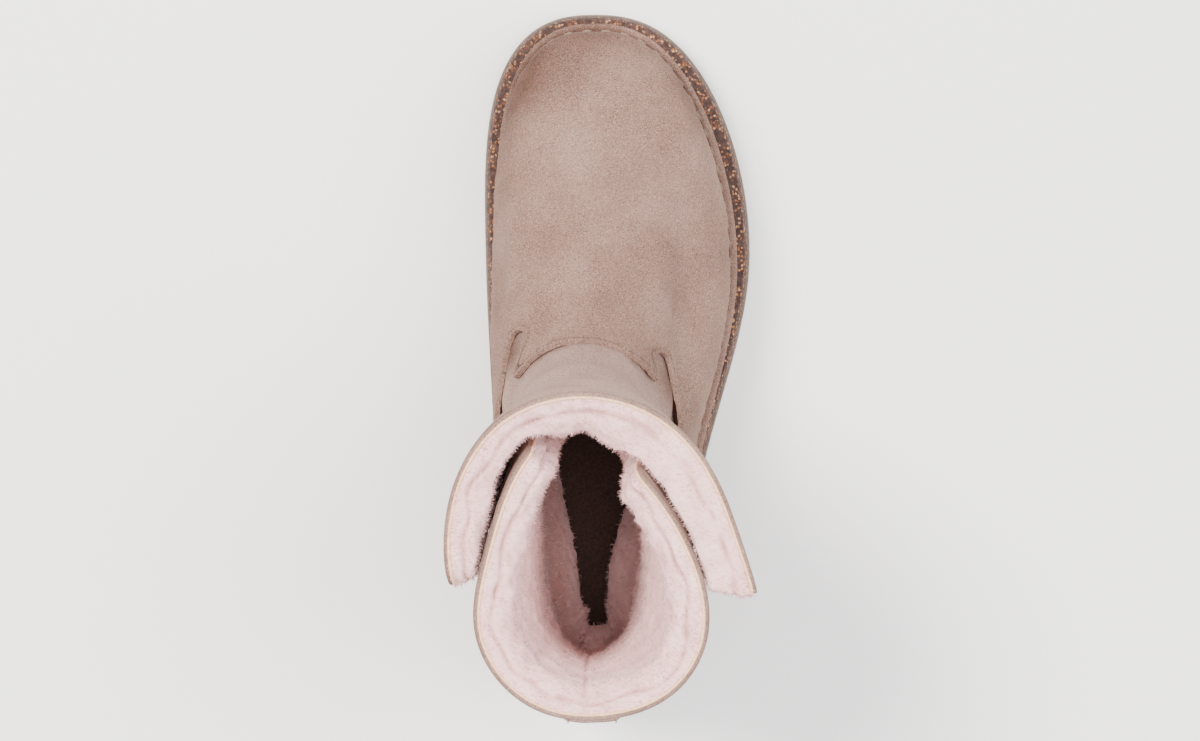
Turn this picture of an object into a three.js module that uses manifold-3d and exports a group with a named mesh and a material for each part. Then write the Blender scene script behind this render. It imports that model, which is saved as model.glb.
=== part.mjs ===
// A right-foot, mid-calf sheepskin boot in EU size 38: suede outside, wool pile inside, on a flat
// stitched-down sole of cork and rubber. The shaft is two sheepskin panels that cross at the sides:
// the front flap lies outside, the U-shaped back panel inside, and both rise from a low suede upper.
//
// Millimetres, +Z up. The last is laid out with y = 0 at the back of the heel and y growing to the
// toe, x = 0 on the heel's centre line and +x to the little-toe (lateral) side. The finished group
// is then moved so that its origin is under the middle of its own bounding box, on the floor.

import * as THREE from "three";
import { mergeVertices } from "three/addons/utils/BufferGeometryUtils.js";
import Module from "manifold-3d";

const wasm = await Module();
wasm.setup();

// ---------------------------------------------------------------- driving dimensions

const SOLE_FROM = 1; // y of the sole's back edge
const SOLE_LENGTH = 275;
const TOE_SPRING = 9;
const SPRING_FROM = 205; // y where the sole starts to curl up towards the toe
const WEDGE_FROM = 60; // the sole thins from here
const WEDGE_TO = 175; // to here, from heel to ball
const HEEL_SEAT = 24.5; // height of the sole's top under the heel
const BALL_SEAT = 18.5; // and under the ball of the foot
const CORK_FOREFOOT = 9; // cork layer's thickness at the ball
const CORK_HEEL = 13.5; // and at the heel
const DRAFT = 0.18; // how far the cork's side walls splay out for each mm down
const SOLE_LEDGE = 0.6; // the rubber's edge stands this far outside the cork
const CORK_INSET = 2.4; // the cork's top edge lies this far inside the outsole's outline
const TREAD_ROUND = 2; // bevel round the tread's lower edge
const LUG_DEPTH = 3;
const ARCH_LIFT = 3; // hollow under the waist of the sole, between heel and forefoot treads
const HEEL_RISE = 2; // the tread curls up this far at the back of the heel
const FLANGE = 3.6; // suede turned outwards and stitched down on the cork
const SUEDE = 2; // sheepskin's leather side
const PILE = 11; // wool of the shaft panels
const FOOT_PILE = 11; // wool round the foot
const PRESSED_PILE = 1.5; // wool squeezed between upper and insole
const INSOLE_THICK = 7;
const LAP_HEEL = 62; // height of the panels' lower ends at the heel, inside the upper
const LAP_SLOPE = 0.105; // how fast they rise from there to the instep
const GAP = 0.3; // clearance between neighbouring pieces
const LAP_GAP = 0.5; // clearance between the upper's lap and the panels inside it
const STRIP_WIDTH = 22; // leather strip down the back seam
const STRIP_THICK = 1.6;
const STRIP_FROM = 5.1; // level where the strip comes out of the upper

const SHAFT_GIRTH = 330; // length round the collar, to turn shares of a ring into mm
const LEVEL_HEIGHT = 48; // mm between rings of the shaft
const PILE_EDGE = 8; // how far from a cut edge the pile reaches its full depth
const EDGE_SHARE = 0.35; // share of the pile's depth that stands at the cut edge itself

const ROUND_STEPS = 64; // points round a full ring
const PANEL_ROWS = 16; // rows of facets up a shaft panel
const STRIP_ROWS = 10;
const STRIP_COLUMNS = 4;
const HALF_TURN = Math.PI / 2;

// ---------------------------------------------------------------- small maths helpers

const lerp = THREE.MathUtils.lerp;
const clamp = THREE.MathUtils.clamp;
const smoothstep = THREE.MathUtils.smoothstep;

// A smooth curve through a few knots: the value at x, from knot places `at` and knot values `value`.
function through(at, value, x) {
  const last = at.length - 1;
  let i = 0;
  while (i < last - 1 && x > at[i + 1]) i++;
  const slope = (a, b) => (value[b] - value[a]) / (at[b] - at[a]);
  const span = at[i + 1] - at[i];
  const mIn = i > 0 ? slope(i - 1, i + 1) : slope(i, i + 1);
  const mOut = i + 2 <= last ? slope(i, i + 2) : slope(i, i + 1);
  const k = clamp((x - at[i]) / span, 0, 1);
  const k2 = k * k;
  const k3 = k2 * k;
  return (
    value[i] * (2 * k3 - 3 * k2 + 1) +
    mIn * span * (k3 - 2 * k2 + k) +
    value[i + 1] * (3 * k2 - 2 * k3) +
    mOut * span * (k3 - k2)
  );
}

// ---------------------------------------------------------------- the form of the last

// Height of the sole's top face at y: a gentle wedge from heel to ball, then the toe spring.
const spring = (y) => TOE_SPRING * Math.max(0, (y - SPRING_FROM) / (SOLE_LENGTH - SPRING_FROM)) ** 1.8;
const wedge = (heel, ball, y) => lerp(heel, ball, smoothstep(y, WEDGE_FROM, WEDGE_TO));
const seat = (y) => wedge(HEEL_SEAT, BALL_SEAT, y) + spring(y);

// Places along a ring, as shares of its own length, where the tables below give a width and a shift.
const STATIONS = [0, 0.3, 0.65, 1];
const WIDTHS = ["heel", "waist", "ball", "toe"];

// A ring runs round the boot from the back of the heel (u = 0) over the lateral side (0.25) and the
// toe or shin (0.5) to the medial side (0.75). Its y goes from `back` to `front` as a cosine, its
// height above the seat from `backUp` to `frontUp`, and its half-width is the width at that station
// times sin(angle) ** power, moved sideways by the shift.
function ringPoint(ring, u) {
  const angle = 2 * Math.PI * u;
  const along = (1 - Math.cos(angle)) / 2;
  const y = lerp(ring.back, ring.front, along);
  const width = through(STATIONS, WIDTHS.map((name) => ring[name]), along);
  const shift = through(STATIONS, [0, ring.waistShift, ring.ballShift, ring.toeShift], along);
  const side = Math.sin(angle);
  const x = shift + width * Math.sign(side) * Math.abs(side) ** ring.power;
  return new THREE.Vector3(x, y, seat(y) + lerp(ring.backUp, ring.frontUp, along));
}

// Rows of numbers with named columns, as a list of objects.
function table(columns, rows) {
  return rows.map((row) => Object.fromEntries(columns.map((name, i) => [name, row[i]])));
}

// One row for each ring. Columns: where the ring starts and ends, how high it stands there, its
// widths and sideways shifts at the stations, and how square its ends are.
const RING_COLUMNS = [
  "name", "back", "backUp", "front", "frontUp", "heel", "waist", "ball", "toe",
  "waistShift", "ballShift", "toeShift", "power",
];

const [SOLE_EDGE] = table(RING_COLUMNS, [
  ["sole edge", SOLE_FROM, 0, SOLE_FROM + SOLE_LENGTH, 0, 54, 43, 55, 66.5, 1.8, 9.9, 0.8, 0.8],
]);

const FOOT_RINGS = table(RING_COLUMNS, [
  ["feather", 6, 0, 268, 0, 47, 36.5, 46, 54, 2.2, 9.6, 0.8, 0.8],
  ["low wall", 4, 12, 269, 10, 49, 38.5, 48.2, 55, 0.6, 7.9, 0.8, 0.8],
  ["side", 3, 26, 266, 24, 50, 39.5, 48.4, 55, -0.5, 7, 0.8, 0.8],
  ["shoulder", 4, 40, 252, 36, 46, 38, 43.5, 55, -0.5, 5, 1, 0.82],
  ["vamp", 6, 52, 222, 51, 44, 37, 33.5, 49, 0, -0.6, 0, 0.86],
  ["instep", 9, 62, 182, 70, 45, 38, 36.8, 34, -0.5, -2, -3, 0.92],
  ["ankle", 11, 75, 148, 92, 43, 37, 34.5, 39, 0, -1.5, -3.5, 1],
]);

const FRONT_RINGS = table(RING_COLUMNS, [
  ["front shin", -2, 126, 137, 134, 46, 47.5, 45, 46, 1, -1, -5, 1],
  ["front collar", -12, 177, 129, 180, 56, 58, 57, 62, 7.5, -0.5, -3.5, 1],
]);

const BACK_RINGS = table(RING_COLUMNS, [
  ["back calf", 12, 126, 128, 130, 46, 41, 37.5, 38, 0, -0.5, -4, 1],
  ["back collar", 8, 181, 116, 179, 50, 47.2, 38.2, 31, 0.3, -2, -9, 1],
]);

// The smooth surface through a stack of rings: t = 0 is the first ring and t = 1 the next.
function loft(rings) {
  return (u, t) => {
    const points = rings.map((ring) => ringPoint(ring, u));
    const levels = rings.map((ring, i) => i);
    const axis = (name) => through(levels, points.map((p) => p[name]), t);
    return new THREE.Vector3(axis("x"), axis("y"), axis("z"));
  };
}

// The point `depth` mm inside a lofted surface (outside it where depth is negative).
function inside(surface, u, t, depth) {
  const du = 0.004;
  const dt = 0.04;
  const along = surface(u + du, t).sub(surface(u - du, t));
  const up = surface(u, t + dt).sub(surface(u, Math.max(0, t - dt)));
  const outward = along.cross(up).normalize();
  return surface(u, t).addScaledVector(outward, -depth);
}

const footForm = loft([...FOOT_RINGS, FRONT_RINGS[0]]);
const frontForm = loft([...FOOT_RINGS, ...FRONT_RINGS]);
const backForm = loft([...FOOT_RINGS, ...BACK_RINGS]);
const ANKLE = FOOT_RINGS.length - 1; // t of the ankle ring
const COLLAR = ANKLE + 2; // t of the collar rings

// ---------------------------------------------------------------- closed meshes and booleans

// A closed BufferGeometry from a list of points and a list of triangles of point numbers.
function meshOf(points, faces) {
  const geometry = new THREE.BufferGeometry();
  const numbers = points.flatMap((p) => [p.x, p.y, p.z]);
  geometry.setAttribute("position", new THREE.Float32BufferAttribute(numbers, 3));
  geometry.setIndex(faces.flat());
  return geometry;
}

// Two triangles for the four corners of a grid cell.
const quad = (a, b, c, d) => [[a, b, c], [a, c, d]];

// Loops of the same number of points, joined one to the next, and the last to the first: a closed ring.
function ringSolid(loops) {
  const n = loops[0].length;
  const id = (i, j) => (i % loops.length) * n + (j % n);
  const faces = loops.flatMap((loop, i) =>
    loop.flatMap((point, j) => quad(id(i, j), id(i, j + 1), id(i + 1, j + 1), id(i + 1, j))));
  return meshOf(loops.flat(), faces);
}

// A slab between stacked rings of equal steps. Each end is closed by strips from side to side.
function slabSolid(levels) {
  const n = levels[0].length;
  const top = levels.length - 1;
  const id = (i, j) => i * n + (j % n);
  const faces = [];
  for (let i = 0; i < top; i++)
    for (let j = 0; j < n; j++) {
      faces.push(...quad(id(i, j), id(i, j + 1), id(i + 1, j + 1), id(i + 1, j)));
    }
  for (let j = 0; j < n / 2; j++) {
    faces.push(...quad(id(0, j), id(0, n - j), id(0, n - j - 1), id(0, j + 1)));
    faces.push(...quad(id(top, j), id(top, j + 1), id(top, n - j - 1), id(top, n - j)));
  }
  return meshOf(levels.flat(), faces.filter(([a, b, c]) => a !== b && b !== c && a !== c));
}

// A thick sheet from two grids, grid[row][column], with its four edges closed.
function sheetSolid(outer, inner) {
  const rows = outer.length;
  const columns = outer[0].length;
  const o = (i, j) => i * columns + j;
  const n = (i, j) => (rows + i) * columns + j;
  const faces = [];
  for (let i = 0; i + 1 < rows; i++)
    for (let j = 0; j + 1 < columns; j++) {
      faces.push(...quad(o(i, j), o(i, j + 1), o(i + 1, j + 1), o(i + 1, j)));
      faces.push(...quad(n(i, j), n(i + 1, j), n(i + 1, j + 1), n(i, j + 1)));
    }
  const top = rows - 1;
  for (let j = 0; j + 1 < columns; j++) {
    faces.push(...quad(o(0, j), n(0, j), n(0, j + 1), o(0, j + 1)));
    faces.push(...quad(o(top, j), o(top, j + 1), n(top, j + 1), n(top, j)));
  }
  const side = columns - 1;
  for (let i = 0; i + 1 < rows; i++) {
    faces.push(...quad(o(i, 0), o(i + 1, 0), n(i + 1, 0), n(i, 0)));
    faces.push(...quad(o(i, side), n(i, side), n(i + 1, side), o(i + 1, side)));
  }
  return meshOf([...outer.flat(), ...inner.flat()], faces);
}

const MERGE_WITHIN = 1e-3;

// BufferGeometry to manifold-3d solid, and back.
function solidOf(geometry) {
  const bare = geometry.clone();
  bare.deleteAttribute("normal");
  bare.deleteAttribute("uv");
  const merged = mergeVertices(bare, MERGE_WITHIN);
  const mesh = new wasm.Mesh({
    numProp: 3,
    vertProperties: new Float32Array(merged.attributes.position.array),
    triVerts: new Uint32Array(merged.index.array),
  });
  return new wasm.Manifold(mesh);
}

function geometryOf(solid) {
  const mesh = solid.getMesh();
  const geometry = new THREE.BufferGeometry();
  geometry.setAttribute("position", new THREE.BufferAttribute(mesh.vertProperties, 3));
  geometry.setIndex(new THREE.BufferAttribute(mesh.triVerts, 1));
  geometry.computeVertexNormals();
  return geometry;
}

const cut = (solid, ...tools) => tools.reduce((left, tool) => left.subtract(tool), solid);

// Even steps from one number to another, both included, and even steps once round a ring.
const steps = (count, from, to) => Array.from({ length: count + 1 }, (_, i) => lerp(from, to, i / count));
const ROUND = steps(ROUND_STEPS, 0, 1).slice(0, -1);

// ---------------------------------------------------------------- sole

// The sole's outline, `inset` mm inside its edge, at the height that `level(y)` gives.
function soleRing(inset, level) {
  const ring = { ...SOLE_EDGE, back: SOLE_EDGE.back + inset, front: SOLE_EDGE.front - inset };
  for (const name of WIDTHS) ring[name] -= inset;
  return ROUND.map((u) => {
    const point = ringPoint(ring, u);
    return point.setZ(level(point.y));
  });
}

const corkFoot = (y) => seat(y) - wedge(CORK_HEEL, CORK_FOREFOOT, y);
const CORK_FOOT_INSET = CORK_INSET - DRAFT * CORK_FOREFOOT;

// Underside of the tread: flat under heel and forefoot, lifted at the waist, curled up at the toe
// and slightly at the back of the heel.
function tread(y) {
  const waist = smoothstep(y, 82, 100) * (1 - smoothstep(y, 128, 146));
  const heelRise = HEEL_RISE * (1 - smoothstep(y, 0, 14));
  return ARCH_LIFT * waist + heelRise + spring(y);
}

// Grooves across the tread leave the lugs between them. Each row is a set of equal grooves: the first
// and last, how many, how wide, and how far their middle is swept towards the toe.
const [HEEL_GROOVES, FOREFOOT_GROOVES] = table(["first", "last", "count", "width", "sweep"], [
  [18, 72, 4, 4, -5],
  [156, 246, 7, 4.5, 7],
]);

// A set of grooves as bars, each bent in the middle and reaching past the sole on both sides.
function grooves({ first, last, count, width, sweep }) {
  const reach = SOLE_LENGTH / 3;
  return steps(count - 1, first, last).map((at) => {
    const heights = [-LUG_DEPTH, tread(at) + LUG_DEPTH];
    const wall = (y) => heights.map((z) => [-reach, 0, reach].map((x) =>
      new THREE.Vector3(x, y + sweep * (1 - Math.abs(x) / reach), z)));
    return solidOf(sheetSolid(wall(at - width / 2), wall(at + width / 2)));
  });
}

function outsole() {
  const body = solidOf(slabSolid([
    soleRing(TREAD_ROUND, tread),
    soleRing(TREAD_ROUND / 5, (y) => tread(y) + TREAD_ROUND),
    soleRing(CORK_FOOT_INSET - SOLE_LEDGE, (y) => corkFoot(y) - GAP),
  ]));
  return cut(body, ...grooves(HEEL_GROOVES), ...grooves(FOREFOOT_GROOVES));
}

function midsole() {
  return solidOf(slabSolid([
    soleRing(CORK_FOOT_INSET, corkFoot),
    soleRing(CORK_INSET, (y) => seat(y) - GAP),
  ]));
}

// The upper's lower outline, `inset` mm inside it and `up` mm above the sole.
const featherLine = (inset, up) => ROUND.map((u) => {
  const point = inside(footForm, u, 0, inset);
  return point.setZ(seat(point.y) + up);
});

function insole() {
  const edge = SUEDE + PRESSED_PILE + 2 * GAP;
  const bevel = 1;
  return solidOf(slabSolid([
    featherLine(edge, GAP),
    featherLine(edge, INSOLE_THICK - bevel),
    featherLine(edge + 3 * bevel, INSOLE_THICK),
  ]));
}

// ---------------------------------------------------------------- shaft panels

// A panel is a sector of a lofted form. Its table gives, for a few levels t, how far its lateral and
// medial edges lie round the ring from the panel's own centre line, as a share of the ring.
const EDGE_COLUMNS = ["t", "lateral", "medial"];
const FRONT_EDGES = table(EDGE_COLUMNS, [
  [5, 0.2, 0.2],
  [6, 0.195, 0.195],
  [7, 0.22, 0.22],
  [8, 0.258, 0.263],
]);
const BACK_EDGES = table(EDGE_COLUMNS, [
  [3, 0.285, 0.285],
  [4, 0.304, 0.304],
  [5, 0.35, 0.35],
  [6, 0.39, 0.4],
  [8, 0.376, 0.41],
]);

const edgeAt = (edges, name, t) => through(edges.map((row) => row.t), edges.map((row) => row[name]), t);

// How much of the pile stands at `inset` mm from a cut edge: a quarter round.
const pileShare = (inset) => lerp(EDGE_SHARE, 1, Math.sin(clamp(inset / PILE_EDGE, 0, 1) * HALF_TURN));

// Steps pulled together towards a panel's collar and sides, where its edge is rounded.
const rowSteps = steps(PANEL_ROWS, 0, 1).map((s) => 1 - (1 - s) ** 1.3);
const columnSteps = (count) => steps(count, -1, 1).map((s) => Math.sin(s * HALF_TURN));

// A sheepskin panel: suede at `outset(k, t)` mm inside the form, then the wool. `corner` is the radius
// at each top corner, and `grow` swells the panel on every side, to cut its neighbours.
function panel({ form, edges, middle, sides, bottom, columns, outset, corner }, grow = 0) {
  const place = (k, v) => {
    const side = sides[k > 0 ? 1 : 0];
    const fromSide = (1 - Math.abs(k)) * edgeAt(edges, side, COLLAR) * SHAFT_GIRTH;
    const short = Math.max(0, corner[side] - fromSide);
    const drop = corner[side] - Math.sqrt(corner[side] ** 2 - short ** 2);
    const t = lerp(bottom, COLLAR + (grow - drop) / LEVEL_HEIGHT, v);
    const reach = edgeAt(edges, side, t) + grow / SHAFT_GIRTH;
    const fromTop = (1 - v) * (COLLAR - bottom) * LEVEL_HEIGHT;
    return { u: middle + k * reach, t, inset: Math.min(fromTop, fromSide) };
  };
  const grid = (depth) => rowSteps.map((v) => columnSteps(columns).map((k) => {
    const { u, t, inset } = place(k, v);
    return inside(form, u, t, depth(k, t, inset));
  }));
  const outer = grid((k, t) => outset(k, t) - grow);
  const inner = grid((k, t, inset) => outset(k, t) + SUEDE + PILE * pileShare(inset) + grow);
  return solidOf(sheetSolid(outer, inner)).intersect(aboveSlope(GAP - grow));
}

// Everything above the sloping plane on which the panels end inside the upper.
function aboveSlope(shift) {
  const reach = 2 * SOLE_LENGTH;
  const half = new THREE.BoxGeometry(reach, reach, reach).translate(0, 0, reach / 2);
  half.rotateX(Math.atan(LAP_SLOPE)).translate(0, 0, LAP_HEEL + shift);
  return solidOf(half);
}

const FRONT_PANEL = {
  form: frontForm,
  edges: FRONT_EDGES,
  middle: 0.5,
  sides: ["lateral", "medial"],
  bottom: 4.6,
  columns: 24,
  corner: { lateral: 3, medial: 11 },
  outset: () => SUEDE + LAP_GAP,
};

// Near its front edges, up to the shin, the back panel dives under the front flap; round the heel it
// only clears the upper.
const UNDER_FLAP = 3.8;
const nearFrontEdge = (k) => smoothstep(Math.abs(k), 0.7, 0.92);
const belowShin = (t) => 1 - smoothstep(t, ANKLE + 0.2, ANKLE + 1.4);
const BACK_PANEL = {
  form: backForm,
  edges: BACK_EDGES,
  middle: 0,
  sides: ["medial", "lateral"],
  bottom: 3,
  columns: 36,
  corner: { lateral: 6, medial: 6 },
  outset: (k, t) => SUEDE + LAP_GAP + UNDER_FLAP * nearFrontEdge(k) * belowShin(t),
};

// The leather strip down the back seam, on the back panel's outside.
function backStrip() {
  const half = STRIP_WIDTH / 2 / SHAFT_GIRTH;
  const levels = steps(STRIP_ROWS, STRIP_FROM, COLLAR - GAP / LEVEL_HEIGHT);
  const across = steps(STRIP_COLUMNS, -1, 1);
  const grid = (proud) => levels.map((t) => across.map((k) =>
    inside(backForm, k * half, t, BACK_PANEL.outset(0, t) - proud)));
  return solidOf(sheetSolid(grid(LAP_GAP + STRIP_THICK), grid(LAP_GAP)));
}

// ---------------------------------------------------------------- upper

const NOTCH_RADIUS = 5;

// Where, from the heel, each side's tab ends and its notch has its middle: the medial one is deeper.
const TOPLINE_SIDES = [
  { tab: 130.5, notch: 136, from: 0, to: SOLE_LENGTH / 2 },
  { tab: 131.5, notch: 144.5, from: -SOLE_LENGTH / 2, to: 0 },
];

// Everything above the upper's topline, drawn in the side view as (y, z) for each side: over the
// instep, round a tab, into a notch that lets the two shaft panels cross, and back round the heel.
function aboveTopline() {
  const sideways = new THREE.Matrix4().makeBasis(
    new THREE.Vector3(0, 1, 0),
    new THREE.Vector3(0, 0, 1),
    new THREE.Vector3(1, 0, 0),
  );
  return TOPLINE_SIDES.map(({ tab, notch, from, to }) => {
    const outline = new THREE.Shape();
    outline.moveTo(172, 150);
    outline.lineTo(148, 117);
    outline.lineTo(tab + 2, 103);
    outline.quadraticCurveTo(tab - 2, 99.5, tab + 2, 98);
    outline.lineTo(notch - 1, 97);
    outline.absarc(notch, 92, NOTCH_RADIUS, HALF_TURN, -HALF_TURN, true);
    outline.quadraticCurveTo(notch - 11, 87.5, 108, 84);
    outline.quadraticCurveTo(60, 75, -20, 86);
    outline.lineTo(-20, 260);
    outline.lineTo(172, 260);
    outline.closePath();
    const bar = new THREE.ExtrudeGeometry(outline, { depth: to - from, bevelEnabled: false, curveSegments: 8 });
    return solidOf(bar.applyMatrix4(sideways).translate(from, 0, 0));
  });
}

// The foot's wall, `up` mm above the sole: the wool is pressed thin against the insole's edge.
const footWall = (up) => {
  const open = smoothstep(up, INSOLE_THICK + 0.5, INSOLE_THICK + 4);
  return SUEDE + lerp(PRESSED_PILE, FOOT_PILE, open);
};

// Levels t of the upper's facets: close together over the round of the sole's edge.
const WALL_LEVELS = [0.35, 0.6, 0.85, 1.2, 1.6, ...steps(8, 2, ANKLE), ANKLE + 0.4];
const LAP_LEVELS = steps(10, 2, ANKLE + 1);

function upper() {
  const innerWall = (u, t) => {
    const point = footForm(u, t);
    return inside(footForm, u, t, footWall(point.z - seat(point.y)));
  };
  const innerFoot = featherLine(SUEDE + PRESSED_PILE, 0);
  const crease = featherLine(0, SUEDE);
  const flangeTop = featherLine(-FLANGE, SUEDE);
  const flangeFoot = featherLine(-FLANGE, 0);
  const tube = ringSolid(ROUND.map((u, i) => [
    innerFoot[i],
    ...WALL_LEVELS.map((t) => innerWall(u, t)),
    ...WALL_LEVELS.toReversed().map((t) => footForm(u, t)),
    crease[i],
    flangeTop[i],
    flangeFoot[i],
  ]));
  const core = slabSolid(LAP_LEVELS.map((t) => ROUND.map((u) => inside(footForm, u, t, SUEDE))));
  const lap = solidOf(core).intersect(aboveSlope(0));
  return cut(solidOf(tube), lap, ...aboveTopline());
}

// ---------------------------------------------------------------- assembly

const FINISHES = {
  suede: { color: 0xb49c91, roughness: 0.95, metalness: 0 },
  sheepskin: { color: 0xc9b3aa, roughness: 0.95, metalness: 0 },
  cork: { color: 0x6b5148, roughness: 0.85, metalness: 0 },
  rubber: { color: 0x8f7f72, roughness: 0.7, metalness: 0 },
  footbed: { color: 0x2a1c18, roughness: 0.9, metalness: 0 },
};

function piece(name, solid, finish) {
  const mesh = new THREE.Mesh(geometryOf(solid), new THREE.MeshStandardMaterial(FINISHES[finish]));
  mesh.name = name;
  return mesh;
}

const boot = new THREE.Group();
boot.add(
  piece("outsole", outsole(), "rubber"),
  piece("midsole", midsole(), "cork"),
  piece("insole", insole(), "footbed"),
  piece("upper", upper(), "suede"),
  piece("front_flap", cut(panel(FRONT_PANEL), panel(BACK_PANEL, GAP), panel(BACK_PANEL)), "sheepskin"),
  piece("back_panel", panel(BACK_PANEL), "sheepskin"),
  piece("back_strip", backStrip(), "suede"),
);

const box = new THREE.Box3().setFromObject(boot);
const middle = box.getCenter(new THREE.Vector3());
boot.position.set(-middle.x, -middle.y, -box.min.z);

export default boot;
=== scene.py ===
# %% [markdown]
# # A sheepskin boot
#
# A right boot: a low suede upper, and a shaft of two sheepskin panels that cross at the sides. The
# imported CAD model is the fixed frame. Every piece here is a finer surface worked out from the same
# few ring tables as the CAD solids, so each one lands where its solid is.

import bpy
import numpy as np
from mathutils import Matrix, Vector


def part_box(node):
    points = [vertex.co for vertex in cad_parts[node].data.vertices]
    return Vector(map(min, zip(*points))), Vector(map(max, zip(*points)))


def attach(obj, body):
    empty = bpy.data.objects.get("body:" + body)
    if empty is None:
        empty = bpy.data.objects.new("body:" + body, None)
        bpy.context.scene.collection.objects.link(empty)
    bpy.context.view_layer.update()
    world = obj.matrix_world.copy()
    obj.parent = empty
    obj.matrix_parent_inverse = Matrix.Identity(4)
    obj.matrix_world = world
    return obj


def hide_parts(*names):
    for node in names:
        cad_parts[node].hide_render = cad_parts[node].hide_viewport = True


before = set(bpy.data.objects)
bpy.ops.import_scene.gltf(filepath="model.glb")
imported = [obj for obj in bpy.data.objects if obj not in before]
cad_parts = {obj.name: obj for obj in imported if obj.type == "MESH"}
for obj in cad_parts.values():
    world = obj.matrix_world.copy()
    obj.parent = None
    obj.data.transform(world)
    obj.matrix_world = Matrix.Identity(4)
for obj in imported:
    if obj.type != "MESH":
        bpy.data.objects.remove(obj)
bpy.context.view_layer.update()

MM = 0.001

# %% [markdown]
# ## The last
#
# A shoemaker starts from a last, the wooden form of the foot. Here it is a stack of rings, each
# with a start, an end, a height and a width at four stations, and a smooth curve through the stack.
# A sculpted last would follow a foot more freely, but these few numbers can be read and changed.
# Sizes are in millimetres, y runs from heel to toe and +x is the little-toe side.

# %% Driving sizes
SOLE_FROM, SOLE_LENGTH = 1.0, 275.0
TOE_SPRING, SPRING_FROM = 9.0, 205.0
WEDGE_FROM, WEDGE_TO = 60.0, 175.0
HEEL_SEAT, BALL_SEAT = 24.5, 18.5
CORK_HEEL, CORK_FOREFOOT = 13.5, 9.0
DRAFT, SOLE_LEDGE, CORK_INSET, TREAD_ROUND = 0.18, 0.6, 2.4, 2.0
LUG_DEPTH, ARCH_LIFT, HEEL_RISE = 3.0, 3.0, 2.0
SUEDE, PILE, PRESSED_PILE, INSOLE_THICK = 2.0, 11.0, 1.5, 7.0
LAP_HEEL, LAP_SLOPE = 62.0, 0.105  # plane on which the shaft stands: height at y = 0, and slope
LAP_GAP, GAP = 0.5, 0.3
SHAFT_GIRTH, SOLE_GIRTH, LEVEL_HEIGHT = 330.0, 640.0, 48.0  # rough mm per turn and per level
TUCK = 2.2  # how much further than its solid the upper leans in over its flange


# %% Curves through knots
def smoothstep(x, low, high):
    """3s^2 - 2s^3 with s = (x - low) / (high - low) held between 0 and 1."""
    s = np.clip((np.asarray(x, float) - low) / (high - low), 0, 1)
    return s * s * (3 - 2 * s)


def lerp(a, b, s):
    """a + (b - a) s."""
    return a + (b - a) * s


def through(at, value, x):
    """Cubic Hermite curve through knots (at, value), with the slope of each knot's neighbours."""
    at, x = np.asarray(at, float), np.asarray(x, float)
    value = np.asarray(value, float)
    if value.ndim == 1:
        value = np.broadcast_to(value.reshape(-1, *[1] * x.ndim), (len(value), *x.shape))
    gaps = (at[2:] - at[:-2]).reshape(-1, *[1] * x.ndim)
    slope = np.concatenate([
        (value[1:2] - value[:1]) / (at[1] - at[0]),
        (value[2:] - value[:-2]) / gaps,
        (value[-1:] - value[-2:-1]) / (at[-1] - at[-2]),
    ])
    i = np.searchsorted(at[1:-1], x, side="left")
    pick = lambda table, j: np.take_along_axis(table, j[None], 0)[0]
    span = at[i + 1] - at[i]
    k = np.clip((x - at[i]) / span, 0, 1)
    return (
        pick(value, i) * (2 * k**3 - 3 * k**2 + 1)
        + pick(slope, i) * span * (k**3 - 2 * k**2 + k)
        + pick(value, i + 1) * (3 * k**2 - 2 * k**3)
        + pick(slope, i + 1) * span * (k**3 - k**2)
    )


# %% Rings of the last
def table(columns, rows):
    """Rows of numbers with named columns, as a list of dictionaries."""
    return [dict(zip(columns, row)) for row in rows]


def spring(y):
    """TOE_SPRING s^1.8, where s runs from 0 at SPRING_FROM to 1 at the toe."""
    return TOE_SPRING * np.clip((y - SPRING_FROM) / (SOLE_LENGTH - SPRING_FROM), 0, None) ** 1.8


def wedge(heel, ball, y):
    """A thickness that goes smoothly from its heel value to its ball value."""
    return lerp(heel, ball, smoothstep(y, WEDGE_FROM, WEDGE_TO))


def seat(y):
    """Height of the sole's top: the wedge and the toe spring."""
    return wedge(HEEL_SEAT, BALL_SEAT, y) + spring(y)


STATIONS = [0, 0.3, 0.65, 1]
WIDTHS = ["heel", "waist", "ball", "toe"]
SHIFTS = ["waistShift", "ballShift", "toeShift"]
RING_COLUMNS = ["back", "backUp", "front", "frontUp", *WIDTHS, *SHIFTS, "power"]
[SOLE_EDGE] = table(RING_COLUMNS, [
    (SOLE_FROM, 0, SOLE_FROM + SOLE_LENGTH, 0, 54, 43, 55, 66.5, 1.8, 9.9, 0.8, 0.8),
])
FOOT_RINGS = table(RING_COLUMNS, [
    (6, 0, 268, 0, 47, 36.5, 46, 54, 2.2, 9.6, 0.8, 0.8),  # feather line
    (4, 12, 269, 10, 49, 38.5, 48.2, 55, 0.6, 7.9, 0.8, 0.8),  # low wall
    (3, 26, 266, 24, 50, 39.5, 48.4, 55, -0.5, 7, 0.8, 0.8),  # side
    (4, 40, 252, 36, 46, 38, 43.5, 55, -0.5, 5, 1, 0.82),  # shoulder
    (6, 52, 222, 51, 44, 37, 33.5, 49, 0, -0.6, 0, 0.86),  # vamp
    (9, 62, 182, 70, 45, 38, 36.8, 34, -0.5, -2, -3, 0.92),  # instep
    (11, 75, 148, 92, 43, 37, 34.5, 39, 0, -1.5, -3.5, 1),  # ankle
])
FRONT_RINGS = table(RING_COLUMNS, [
    (-2, 126, 137, 134, 46, 47.5, 45, 46, 1, -1, -5, 1),  # front shin
    (-12, 177, 129, 180, 56, 58, 57, 62, 7.5, -0.5, -3.5, 1),  # front collar
])
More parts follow.
